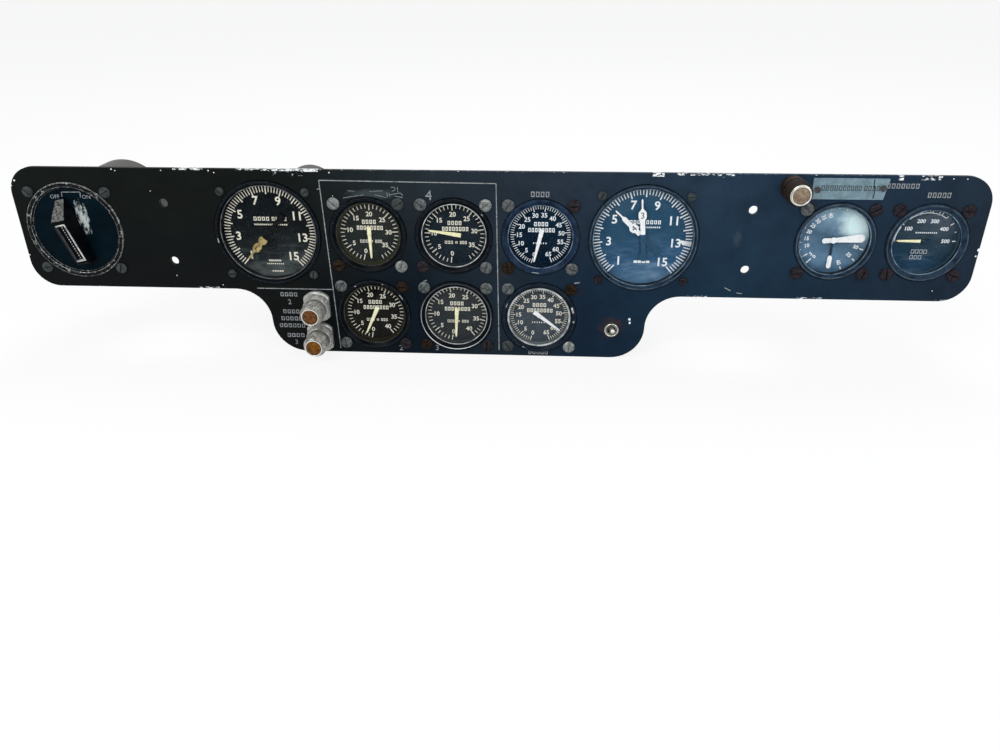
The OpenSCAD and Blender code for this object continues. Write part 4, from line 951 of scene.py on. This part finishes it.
# %% [markdown]
# ## Printed dials
# A dial is a disc with lines round its rim, figures inside them, and rows of dashes or small open
# boxes where the object has words, which are not copied. Lines are one square scaled and turned
# into place, and an arc is a strip of squares bent round the centre. Figures are text curves turned
# into meshes, then fitted to a height. All marks lie a little over the surface that carries them.

# %% Bars, lines and arcs
# Height of a mark over its surface in millimetres, and length of an arc's squares in degrees
INK_LIFT, ARC_STEP = 0.08, 4


def draw_bar(bm, width, length, middle, level, turn=0.0):
    """A flat painted bar, long along the second axis, turned clockwise about its own middle."""
    made = bmesh.ops.create_grid(bm, x_segments=1, y_segments=1, size=0.5)["verts"]
    bmesh.ops.scale(bm, vec=(width, length, 1), verts=made)
    bmesh.ops.rotate(bm, cent=(0, 0, 0), matrix=Matrix.Rotation(-radians(turn), 3, "Z"), verts=made)
    bmesh.ops.translate(bm, vec=(middle[0], middle[1], level), verts=made)


def draw_line(bm, width, start, end, level):
    """A flat painted line between two places."""
    run = Vector(end) - Vector(start)
    middle = (Vector(end) + Vector(start)) / 2
    draw_bar(bm, width, run.length, middle, level, degrees(atan2(run.x, run.y)))


def draw_tick(bm, turn, inner, outer, width, level):
    """A flat painted bar along a spoke, between two distances from the centre."""
    draw_bar(bm, width, outer - inner, spoke_place(turn, (inner + outer) / 2), level, turn)


def draw_arc(bm, inner, outer, start, end, level):
    """A flat painted arc between two angles, as a strip bent round the centre."""
    steps = round((end - start) / ARC_STEP) + 1
    for vert in bmesh.ops.create_grid(bm, x_segments=steps, y_segments=1, size=0.5)["verts"]:
        turn = start + (vert.co.x + 0.5) * (end - start)
        place = spoke_place(turn, inner + (vert.co.y + 0.5) * (outer - inner))
        vert.co = (place.x, place.y, level)


# %% Figures
def draw_figure(bm, words, height, middle, level, bold=0.02, turn=0.0):
    """Figures of the built-in font as a flat mesh, fitted to a height and set on their middle."""
    curve = bpy.data.curves.new("figure", "FONT")
    curve.body = words
    curve.offset = bold
    curve.resolution_u = 3
    holder = bpy.data.objects.new("figure", curve)
    mesh = bpy.data.meshes.new_from_object(holder)
    count = len(bm.verts)
    bm.from_mesh(mesh)
    bm.verts.ensure_lookup_table()
    made = bm.verts[count:]
    low = Vector([min(v.co[i] for v in made) for i in range(2)])
    high = Vector([max(v.co[i] for v in made) for i in range(2)])
    size = height / (high.y - low.y)
    half = (low + high) / 2
    bmesh.ops.translate(bm, vec=(-half.x, -half.y, 0), verts=made)
    bmesh.ops.scale(bm, vec=(size, size, 1), verts=made)
    bmesh.ops.rotate(bm, cent=(0, 0, 0), matrix=Matrix.Rotation(-radians(turn), 3, "Z"), verts=made)
    bmesh.ops.translate(bm, vec=(middle[0], middle[1], level), verts=made)
    bpy.data.objects.remove(holder)
    bpy.data.meshes.remove(mesh)
    bpy.data.curves.remove(curve)


# %% Stand-ins for words, and discs
# Distance between two open boxes as a share of their width, and corners of a disc's rim
BOX_PITCH, RIM_CORNERS = 1.4, 96


def draw_dashes(bm, count, width, height, gap, middle, level):
    """A row of short dashes, where the object has a line of small print."""
    for i in range(count):
        across = (i - (count - 1) / 2) * (width + gap)
        draw_bar(bm, width, height, (middle[0] + across, middle[1]), level)


def draw_boxes(bm, count, length, height, stroke, middle, level):
    """A row of small open boxes, where the object has a word in larger print."""
    width = length / ((count - 1) * BOX_PITCH + 1)
    for i in range(count):
        across = middle[0] + (i - (count - 1) / 2) * width * BOX_PITCH
        for side in (-1, 1):
            draw_bar(bm, stroke, height, (across + side * (width - stroke) / 2, middle[1]), level)
            draw_bar(bm, width - 2 * stroke, stroke,
                     (across, middle[1] + side * (height - stroke) / 2), level)


def draw_disc(bm, radius, top, thickness, hole=0.0):
    """A flat disc or ring, drawn as a profile that spins once round the third axis."""
    corners = [bm.verts.new((x, 0, z)) for x, z in ((hole, top), (radius, top),
               (radius, top - thickness), (hole, top - thickness))]
    profile = [bm.edges.new(pair) for pair in zip(corners, corners[1:] + corners[:1])]
    bmesh.ops.spin(bm, geom=corners + profile, cent=(0, 0, 0), axis=(0, 0, 1), angle=2 * pi,
                   steps=RIM_CORNERS, use_merge=True)
    bmesh.ops.recalc_face_normals(bm, faces=bm.faces)


# %% [markdown]
# ## One function for every round gauge
# The gauges differ in size, scale and print, so a gauge is described by a few values and drawn by
# the same steps: disc, ticks, figures, print and the lip that holds the glass. Angles run clockwise
# from straight up.

# %% Lips of the glasses
# Thickness of a dial and radius of its hole, thickness of a lip and its height over the plate
DIAL_T, STAFF_HOLE = 0.8, 1.8
LIP_T, LIP_TOP = 0.2, -0.58
LONG_TICK_WIDER = 1.25
dial_level = height_over_panel("flow_left_dial")
# Thin metal lips that hold the glasses: dull olive, worn grey, light grey or blue grey
olive_lip = finish("olive_glass_lip", ("#1c1d18", "#46473c"), 3, roughness=0.4,
                   Specular_IOR_Level=0.1)
grey_lip = finish("worn_grey_glass_lip", ("#2b2e2d", "#777a79"), 6, roughness=0.4, metallic=0.2)
light_lip = finish("rubbed_glass_lip", ("#6f7477", "#d0d3d4"), 5, roughness=0.35, metallic=0.2)
blue_lip = finish("blue_grey_glass_lip", ("#2a3d4e", "#7d93a5"), 5, roughness=0.4,
                  Specular_IOR_Level=0.1)


# %% A gauge
def gauge(name, place, paint, ink, radius, scale, ticks, node, lip, window, figures=(),
          words=(), dashes=(), extra=None, lip_w=0.6):
    """Draws a gauge's dial, its marks and the lip round its window.

    scale: first and last value, angle of the first, degrees per unit, units per tick, ticks per
    long tick. ticks: outer end, length of a short and a long one, width. figures: value, turn,
    distance from the centre and height. words and dashes: rows for draw_boxes and draw_dashes.
    extra: draws what only this gauge has.
    """
    disc_bm = bmesh.new()
    draw_disc(disc_bm, radius, dial_level, DIAL_T, STAFF_HOLE)
    disc_bm.transform(on_panel(place))
    add_piece("dial_" + name, disc_bm, [paint], "panel", (node,))
    bm = bmesh.new()
    level = dial_level + INK_LIFT
    first, last, start, per_unit, step, long_every = scale
    outer, short, long, width = ticks
    for i in range(round((last - first) / step) + 1):
        is_long = i % long_every == 0
        draw_tick(bm, start + i * step * per_unit, outer - (long if is_long else short), outer,
                  width * (LONG_TICK_WIDER if is_long else 1.0), level)
    for value, turn, reach, height in figures:
        draw_figure(bm, str(value), height, spoke_place(turn, reach), level)
    for row in words:
        draw_boxes(bm, *row, level)
    for row in dashes:
        draw_dashes(bm, *row, level)
    if extra:
        extra(bm, level)
    bm.transform(on_panel(place))
    add_piece("figures_" + name, bm, [ink], "panel")
    lip_bm = bmesh.new()
    draw_disc(lip_bm, window, LIP_TOP, LIP_T, window - lip_w)
    lip_bm.transform(on_panel(place))
    add_piece("glass_lip_" + name, lip_bm, [lip], "panel")


def scale_figures(values, start, per_unit, reach, height, first=0):
    """Each value with its turn, distance from the centre and height."""
    return [(v, start + (v - first) * per_unit, reach, height) for v in values]


# %% [markdown]
# ### Fuel and water gauges
# Six gauges share one size. The fuel scales of the upper and the lower pair differ a little, so the
# lower pair has room for a figure more. What differs stands in one row for each gauge, and a loop
# draws them. Small print is not copied: rows of dashes stand where it is.

# %% Fuel gauges
# Radius of a small dial, and of the window in its bezel
SMALL_R, SMALL_WINDOW = 25.0, 23.98
# Words as (letters, length, height, stroke, middle), and small print as draw_dashes takes it
QUANTITY_WORDS = [(4, 10.2, 3.1, 0.62, (0.2, 8.5)), (8, 19.4, 3.1, 0.6, (0.6, 4))]
FUEL_PRINT = [(3, 6, 2.3, 0.4, (-4.4, -6.3)), (1, 1.6, 1.6, 0.4, (1.3, -6.3)),
              (3, 5, 2.3, 0.4, (6.4, -6.3))]
# Each fuel gauge: lacquer tones, faded rim, angle of zero, degrees per unit, last figure, last
# tick, outer end of the ticks, and the glass's lip
FUEL_GAUGES = [
    (("#262b2b", "#282d2c", "#30312e"), (21.9, "#3c3d31"), 195, 8.4, 35, 38, 21.6, olive_lip),
    (("#1d1d1a", "#1f1f1d", "#191917"), (22.3, "#302d22"), 191, 7.8, 40, 40, 21.9, olive_lip),
    (("#33383c", "#33383b", "#3c3f3f"), (23.0, "#4a4d4c"), 191, 7.8, 40, 40, 22.6, light_lip),
    (("#1a242d", "#1d272f", "#20282f"), (22.8, "#2d363d"), 188, 8.4, 35, 38, 22.2, light_lip)]
for i, (tones, rim, start, per_unit, last_figure, last, outer, lip) in enumerate(FUEL_GAUGES, 1):
    place = hinge_place(f"fuel_pointer_{i}_turn")
    gauge(f"fuel_{i}", place, dial_paint(f"fuel_dial_{i}_lacquer", place, SMALL_R, 20, tones, rim),
          figure_paint, SMALL_R, (0, last, start, per_unit, 1, 5), (outer, 2.9, 4.4, 0.58),
          "fuel_dials", lip, SMALL_WINDOW, words=QUANTITY_WORDS + FUEL_PRINT,
          figures=scale_figures(range(0, last_figure + 1, 5), start, per_unit, outer - 7.2, 3.6))

# %% Water gauges
WATER_PRINT = [(6, 0.7, 1.2, 1.1, (-0.4, -6))]
WATER_ZERO, WATER_SPAN, WATER_FULL = 197, 320, 65
WATER_SCALE = (0, WATER_FULL, WATER_ZERO, WATER_SPAN / WATER_FULL, 1, 5)
WATER_FIGURES = scale_figures(range(0, WATER_FULL + 1, 5), WATER_ZERO, WATER_SPAN / WATER_FULL,
                              15.4, 3.5)
# Each water gauge: lacquer tones, faded rim, paint of the figures, the glass's lip and its width
WATER_GAUGES = {
    "left": (("#08182a", "#0b2030", "#132a3c"), (22.9, "#102334"), blue_white_paint, blue_lip, 0.6),
    "right": (("#4a535b", "#454e56", "#454c51"), (22.6, "#787e80"), figure_paint, light_lip, 1.3)}
for side, (tones, rim, ink, lip, lip_w) in WATER_GAUGES.items():
    place = hinge_place(f"water_pointer_{side}_turn")
    gauge(f"water_{side}", place,
          dial_paint(f"water_dial_{side}_lacquer", place, SMALL_R, 45, tones, rim), ink, SMALL_R,
          WATER_SCALE, (22.2, 2.6, 4.1, 0.55), "water_dials", lip, SMALL_WINDOW,
          WATER_FIGURES, QUANTITY_WORDS, WATER_PRINT, lip_w=lip_w)

# %% [markdown]
# ### Flow gauges
# The two large gauges share one scale from 1 to 15. The left one's lacquer has gone grey at the
# bottom, the right one's blue, paler at the bottom, is a painted sky reflection, and only the right
# one has a broad index bar near 13.

# %% Flow gauges
FLOW_R = 36.1
FLOW_FIRST, FLOW_LAST, FLOW_ZERO, FLOW_PER_UNIT = 1, 15, 222, 19.85
FLOW_SCALE = (FLOW_FIRST, FLOW_LAST, FLOW_ZERO, FLOW_PER_UNIT, 0.2, 5)
FLOW_FIGURES = scale_figures(range(FLOW_FIRST, FLOW_LAST + 1, 2), FLOW_ZERO, FLOW_PER_UNIT, 24.8,
                             6.6, FLOW_FIRST)


def index_bar(bm, level):
    """The broad bar near 13."""
    draw_tick(bm, turn=97, inner=27.5, outer=36, width=2.4, level=level)


flow_left_lacquer = dial_paint(
    "flow_left_lacquer", flow_left, FLOW_R, 175,
    ("#12171b", "#141a1e", "#161a1d", "#23292b", "#515857"), (35.2, "#181c1e"), 0.3, "#8d9598")
gauge("flow_left", flow_left, flow_left_lacquer, figure_paint, FLOW_R, FLOW_SCALE,
      (34.7, 4.8, 6.4, 0.72), "flow_left_dial", grey_lip, 35.98, FLOW_FIGURES,
      words=[(4, 11.6, 2.9, 0.6, (-5.4, 9.8)), (4, 11, 2.9, 0.6, (8, 9.8))],
      dashes=[(17, 0.9, 1.1, 0.6, (1.2, 5.4)), (8, 0.9, 1.3, 0.3, (0.8, -22.6)),
              (9, 0.9, 0.8, 0.6, (0.8, -25.2)), (5, 1.3, 1.1, 0.5, (2, -31))])
flow_right = hinge_place("flow_right_pointer_3_turn")
# Painted sky reflection: the blue tones, paler towards the bottom, and the pale streaks
flow_right_lacquer_and_painted_reflection = dial_paint(
    "flow_right_lacquer_and_painted_reflection", flow_right, FLOW_R, 170,
    ("#3b5b71", "#2a4c66", "#2b4e67", "#33587a", "#587b98"), (36, "#1b3245"), 0.4, "#b4cbdd", 0.1)
gauge("flow_right", flow_right, flow_right_lacquer_and_painted_reflection, blue_white_paint, FLOW_R, FLOW_SCALE,
      (36.0, 4.9, 6.6, 0.75), "flow_right_dial", blue_lip, 36.48, FLOW_FIGURES,
      words=[(4, 10.4, 2.8, 0.6, (-5, 11)), (4, 10.4, 2.8, 0.6, (7, 11))],
      dashes=[(15, 0.9, 1.1, 0.6, (1, 7.2)), (4, 2.6, 1.9, 0.4, (0.5, -19))], extra=index_bar)

# %% [markdown]
# ### Belly tank and pressure gauges
# The belly tank gauge's figures read along their spokes, and its lacquer is painted paler towards
# the upper right, with a pale patch there, as a painted reflection. The pressure gauge has few
# figures, and arcs under its scale.

# %% Belly tank gauge
# Figure, turn and distance from the centre: each reads along its spoke
BELLY_FIGURES = [("0", 221, 17), ("5", 232, 17.5), ("10", 255, 18), ("15", 272, 18.5),
                 ("20", 288, 18.5), ("25", 303, 18.5), ("30", 317, 18.5), ("35", 331, 18.5),
                 ("40", 346, 18.5), ("45", 68, 17), ("50", 107, 18), ("55", 130, 17.5),
                 ("60", 157, 18.5)]
# Bars at some figures: turn and inner end
BELLY_BARS = ((236, 19.5), (222, 19.5), (108, 21), (131, 21.5), (157, 22))


def belly_extra(bm, level):
    """Bars at five figures, and the figures, turned so that none is upside down."""
    for turn, inner in BELLY_BARS:
        draw_tick(bm, turn, inner, 24, 0.9, level)
    for figure, turn, reach in BELLY_FIGURES:
        draw_figure(bm, figure, 2.9, spoke_place(turn, reach), level, 0.03,
                    turn - (90 if turn < 180 else 270))


belly = hinge_place("belly_pointer_long_turn")
# Painted reflection: the lacquer pales towards the upper right, and a pale patch lies there
belly_lacquer_and_painted_reflection = dial_paint(
    "belly_lacquer_and_painted_reflection", belly, SMALL_R, 20,
    ("#3f5f7a", "#6485a0", "#4a667c", "#7190a8", "#9dc0d0"), (25, "#2c4254"), 0.5, "#cfe2ea",
    reflection_patch=(50, 17.5, (17, 14), "#dcf6f8"))
gauge("belly", belly, belly_lacquer_and_painted_reflection, blue_white_paint, SMALL_R, (0, 10, 236, 14, 1, 2),
      (23.9, 1.4, 2.0, 0.5), "belly_dial", blue_lip, 25.18, extra=belly_extra)

# %% Pressure gauge
def pressure_extra(bm, level):
    """A broad arc at the low end of the scale, a thin one along the rest, and three bars on it."""
    draw_arc(bm, 20.2, 22.2, 268, 300, level)
    draw_arc(bm, 20.2, 20.8, 320, 396, level)
    for turn in (345, 5, 24):
        draw_tick(bm, turn, 20.2, 23.6, 0.6, level)


PRESSURE_ZERO, PRESSURE_PER_UNIT = 270, 0.36
pressure = hinge_place("pressure_pointer_turn")
pressure_lacquer = dial_paint(
    "pressure_lacquer", pressure, SMALL_R, 195, ("#55636f", "#33434f", "#20394b", "#264560"),
    (23.4, "#3f5669"), 0.4, "#8da3b5")
gauge("pressure", pressure, pressure_lacquer, blue_white_paint, SMALL_R,
      (0, 500, PRESSURE_ZERO, PRESSURE_PER_UNIT, 50, 2), (22.4, 1.4, 2.6, 0.6), "pressure_dial",
      blue_lip, SMALL_WINDOW,
      scale_figures(range(100, 501, 100), PRESSURE_ZERO, PRESSURE_PER_UNIT, 15.2, 2.9),
      words=[(4, 11, 2.8, 0.2, (-1.5, -8)), (3, 8, 2.8, 0.2, (-3, -12.3))],
      dashes=[(11, 0.8, 0.9, 0.6, (0.5, 6))], extra=pressure_extra)

# %% [markdown]
# ## Rubbed and chipped bezels
# The flat front of a bezel is rubbed along a line, bright on one and blue grey on three, and chips
# of bare metal show on others. The bright rub grows paler towards the bottom, which is a painted
# highlight. They are thin rings and bars just over the enamel, because a rub follows the ring
# exactly.

# %% Rubbed and chipped bezels
dim_rub = finish("dim_rubbed_enamel", ("#202d3a", "#505f6d"), 6, roughness=0.45,
                 Specular_IOR_Level=0.05)
# Painted highlight: this rub grows paler towards the bottom of its ring
rub_with_painted_highlight = dial_paint("rubbed_enamel_painted_highlight", hinge_place("fuel_pointer_3_turn"), 27, 190,
                     ("#3c4145", "#4c5154", "#8f9496", "#dfe3e4"), (40, "#dfe3e4"))
# Each rub: hand, bezels, outer and inner radius, and paint
RUBBED = [("fuel_pointer_3", "quantity_bezels", 27.2, 26.6, rub_with_painted_highlight),
          ("belly_pointer_long", "pressure_bezels", 27.5, 27.0, dim_rub),
          ("pressure_pointer", "pressure_bezels", 27.5, 27.0, dim_rub),
          ("flow_right_pointer_3", "flow_bezels", 38.6, 38.1, dim_rub)]
# The chips at each hand's bezel: turn, distance from the centre, width and length
CHIPPED = {"water_pointer_right": [(74, 26.4, 1.3, 4.6), (95, 26.6, 1.0, 1.6),
                                   (293, 26.6, 0.6, 3.0), (205, 26.6, 0.5, 2.4)],
           "fuel_pointer_2": [(332, 26.8, 0.6, 1.2), (18, 26.8, 0.6, 1.2), (55, 26.8, 0.5, 4.2)],
           "fuel_pointer_4": [(52, 26.8, 0.4, 1.6)], "water_pointer_left": [(187, 26.8, 0.5, 5.0)],
           "flow_left_pointer_3": [(262, 38.2, 0.8, 3.4)]}
# How far the rubs and chips lie over the enamel
BEZEL_LIFT = 0.03
for node, bezels, outer, inner, metal in RUBBED:
    bm = bmesh.new()
    draw_disc(bm, outer, height_over_panel(bezels) + BEZEL_LIFT, BEZEL_LIFT, inner)
    bm.transform(on_panel(hinge_place(node + "_turn")))
    add_piece("rubbed_bezel_" + node, bm, [metal], "panel")
bm = bmesh.new()
chip_level = height_over_panel("quantity_bezels") + BEZEL_LIFT
for node, chips in CHIPPED.items():
    for turn, reach, width, length in chips:
        place = hinge_place(node + "_turn") / MM + spoke_place(turn, reach)
        draw_bar(bm, length, width, place, chip_level, turn)
bm.transform(on_panel(Vector((0, 0))))
add_piece("bezel_chips", bm, [light_lip], "panel")

# %% [markdown]
# ## Numerals on the flow hands
# Each flow hand carries its number on its disc, painted dark. The number rides on the hand's own
# body, so it turns with it.

# %% Numerals on the hands
NUMERAL_H = 4.5
# Numeral, distance of its disc from the hinge, and how far the hand's hub stands over the disc
FLOW_NUMERALS = (("3", 16.4, 0.4), ("4", 9.4, 0.0))
for side in ("left", "right"):
    for figure, reach, hub_rise in FLOW_NUMERALS:
        node = f"flow_{side}_pointer_{figure}"
        level = height_over_panel(node) - hub_rise + INK_LIFT
        bm = bmesh.new()
        draw_figure(bm, figure, NUMERAL_H, (0, reach), level, bold=0.0)
        bm.transform(on_panel(hinge_place(node + "_turn"), resting_turn(node)))
        add_piece("figure_" + node, bm, [dark_paint], frame["nodes"][node]["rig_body"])

# %% [markdown]
# ## Lines and numerals engraved in the plate
# Thin pale lines fence off the fuel group, and numerals stand by some gauges and lamps. Where the
# plate has words, rows of small open boxes mark their place. Scratches through the enamel are lines
# of the same grey, so they share the piece.

# %% Engraved lines
LINE_W = 0.65
# Both ends of each line, along and up the panel
LINES = [((-96, 40.2), (-92.3, -92.4)), ((-96, 40.2), (31.3, 39.2)), ((31.3, 39.2), (33, -91)),
         ((-152.6, -43.2), (-94.4, -43.2))]
# Numerals by gauges and lamps: figure, height and middle
NUMERALS = [("4", 7.0, (-17.3, 30.4)), ("2", 4.4, (-44, -91)), ("3", 4.4, (-15.6, -90.3)),
            ("2", 4.0, (-128.7, -53.9)), ("3", 4.0, (-127.3, -87.9))]
# Words as rows of boxes: letters, length, height, stroke and middle
WORD_ROWS = [(4, 13, 3.2, 0.6, (-128.6, -47.8)), (4, 12.5, 3.2, 0.6, (-128.4, -62)),
             (5, 16.5, 3.2, 0.6, (-128.6, -67.9)), (6, 20, 3.2, 0.6, (-128.9, -73.8)),
             (4, 13.4, 3.2, 0.6, (-127.1, -82.1)), (4, 13, 3.8, 0.6, (62.7, 31.9)),
             (5, 15, 3.4, 0.6, (63.4, -92.4)), (7, 21.8, 3.4, 0.6, (312.7, 40.6)),
             (5, 15.5, 3.6, 0.6, (338.5, 34.5))]
# Thin scratches: both ends along and up the panel, and width, in millimetres. The thinnest are what
# a paint smear over the first fuel gauge left.
SCRATCHES = [((200.5, -36.2), (205, -38.6), 0.6), ((209.5, -40.2), (213.5, -40.6), 0.6),
             ((89.5, -34.8), (93.4, -34.2), 0.8), ((-24, -35.4), (-21.4, -34.4), 0.8),
             ((-98, 33.5), (-95.5, 34.6), 0.6), ((-79.5, 27.6), (-72.5, 28.8), 0.4),
             ((-72.5, 28.8), (-64.5, 30), 0.35), ((-56, 30.2), (-48, 28.2), 0.35),
             ((-47.3, 31.9), (-46.9, 28.8), 0.4), ((-45.8, 31.7), (-45.2, 28.9), 0.3),
             ((-44.2, 35.6), (-41.9, 35.9), 0.4), ((-41.9, 35.9), (-41, 33.8), 0.4),
             ((-41, 33.8), (-43.4, 32.9), 0.4), ((-39.6, 36), (-39.3, 32.4), 0.4),
             ((-45, 30.4), (-37.6, 31.8), 0.35), ((-42, 29.5), (-36, 28.4), 0.4),
             ((-37.6, 31.8), (-35.8, 30), 0.5), ((-60, 32.6), (-50, 33.2), 0.25),
             ((-76, 32.9), (-70.8, 32.6), 0.3)]
bm = bmesh.new()
for start, end in LINES:
    draw_line(bm, LINE_W, start, end, INK_LIFT)
for figure, height, middle in NUMERALS:
    draw_figure(bm, figure, height, middle, INK_LIFT, bold=0.0)
for row in WORD_ROWS:
    draw_boxes(bm, *row, INK_LIFT)
for start, end, width in SCRATCHES:
    draw_line(bm, width, start, end, INK_LIFT)
bm.transform(on_panel(Vector((0, 0))))
add_piece("engraved_lines", bm, [engraved_paint], "panel")

# %% [markdown]
# ## Selector face
# The sunk face is satin blue-black enamel. Beside the knob the enamel is worn to bright scratches
# inside a long oval, because the knob's skirt has rubbed there, and a fine bracket joins the two
# ends of the knob's travel.

# %% Selector enamel
# The worn oval's middle and half sizes in millimetres, and its tilt in degrees
WORN_AT, WORN_HALVES, WORN_TILT = (7.4, 9.8), (4.4, 13.6), -6
# Length of the scratches and how much narrower they are, and size of the enamel's clouds
SCRATCH_MM, SCRATCH_STRETCH, FACE_CLOUD_MM = 5, (3, 1, 1), 16
face_enamel, face_shader = new_material("worn_selector_enamel", Roughness=0.42,
                                        Specular_IOR_Level=0.02)
where = add_node(face_enamel, "ShaderNodeTexCoord").outputs["Object"]
streak_map = add_node(face_enamel, "ShaderNodeMapping", {"Vector": where,
                      "Scale": SCRATCH_STRETCH})
streaks = add_node(face_enamel, "ShaderNodeTexNoise", {"Vector": streak_map.outputs[0],
                   "Scale": 1 / (SCRATCH_MM * MM), "Detail": 7.0, "Roughness": 0.72})
worn = broken_oval(face_enamel, where, selector + Vector(WORN_AT) * MM, WORN_HALVES, WORN_TILT,
                   streaks.outputs[0], spread=4.0)
clouds = add_node(face_enamel, "ShaderNodeTexNoise", {"Vector": where,
                  "Scale": 1 / (FACE_CLOUD_MM * MM), "Detail": 5.0})
enamel_tone = add_node(face_enamel, "ShaderNodeMix", {0: clouds.outputs[0], 6: srgb("#01060a"),
                       7: srgb("#081a23")}, data_type="RGBA")
colour = add_node(face_enamel, "ShaderNodeMix", {0: worn, 6: enamel_tone.outputs[2],
                  7: srgb("#bcc4c4")}, data_type="RGBA")
face_enamel.node_tree.links.new(colour.outputs[2], face_shader.inputs["Base Color"])
softened("selector_face", 0.1, [face_enamel])

# %% Selector marks
# Height of the sunk face over the plate's front, and corners of the bracket
SUNK_FACE = -0.6
BRACKET = ((-4.5, 25.4), (-4.2, 28.8), (10, 29), (9.4, 25))
# Width of the bracket's line, and height of the two printed places
BRACKET_W, PLACE_H = 0.5, 2.9
bm = bmesh.new()
level = SUNK_FACE + INK_LIFT
for start, end in zip(BRACKET, BRACKET[1:]):
    draw_line(bm, BRACKET_W, start, end, level)
for word, middle in (("OFF", (-10, 25.4)), ("ON", (13.8, 25.5))):
    draw_figure(bm, word, PLACE_H, middle, level, bold=0.0)
bm.transform(on_panel(selector))
add_piece("selector_marks", bm, [engraved_paint], "panel")

# %% [markdown]
# ## Dots in the knob's slot
# The slot in the knob's long slope holds a row of small light dots. They are laid out evenly along
# the slope's own line, at the depth of the slot's floor, and turn with the knob.

# %% Dots in the knob's slot
# Ends of the slope as (distance along the knob, height over the panel), and the slot's depth
SLOPE_TOP, SLOPE_END, SLOT_DEPTH = Vector((10.2, 16.4)), Vector((-22.5, 10.2)), 1.6
# How many dots, their width and length, and the share of the slope free before them and taken up
DOTS, DOT_W, DOT_L = 14, 0.7, 0.9
DOTS_FROM, DOTS_SPAN = 0.12, 0.76
bm = bmesh.new()
for i in range(DOTS):
    along, height = SLOPE_TOP.lerp(SLOPE_END, DOTS_FROM + DOTS_SPAN * i / (DOTS - 1))
    draw_bar(bm, DOT_W, DOT_L, (0, along), height - SLOT_DEPTH + 2 * INK_LIFT)
bm.transform(on_panel(selector, KNOB_TURN))
add_piece("knob_slot_dots", bm, [worn_cream], frame["nodes"]["selector_knob"]["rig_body"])

# %% [markdown]
# ## Label plate
# The label has a crack, and small open boxes where its words were. Both are flat marks, because the
# crack is in the paint and not through the metal.

# %% Label plate
# Boxes as (count, length, place along the label), and the corners of the crack
LABEL_WORDS = ((5, 14, -12.7), (5, 12.5, 1.3), (4, 10.5, 14.6))
CRACK = ((15.2, 7), (15.4, 3), (16.8, -1), (16.4, -6.6))
# Height of the boxes, width of their lines, their place over the middle, and the crack's width
LABEL_H, LABEL_STROKE, LABEL_UP, CRACK_W = 3.6, 0.5, 0.6, 0.8
label_low, label_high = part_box("label_plate")
label_mid = Vector(((label_low.x + label_high.x) / 2, (label_low.z + label_high.z) / 2))
label_level = height_over_panel("label_plate") + INK_LIFT / 2
bm = bmesh.new()
for count, length, across in LABEL_WORDS:
    draw_boxes(bm, count, length, LABEL_H, LABEL_STROKE, (across, LABEL_UP), label_level)
for start, end in zip(CRACK, CRACK[1:]):
    draw_line(bm, CRACK_W, start, end, label_level)
bm.transform(on_panel(label_mid))
add_piece("label_print", bm, [dark_paint], "panel")
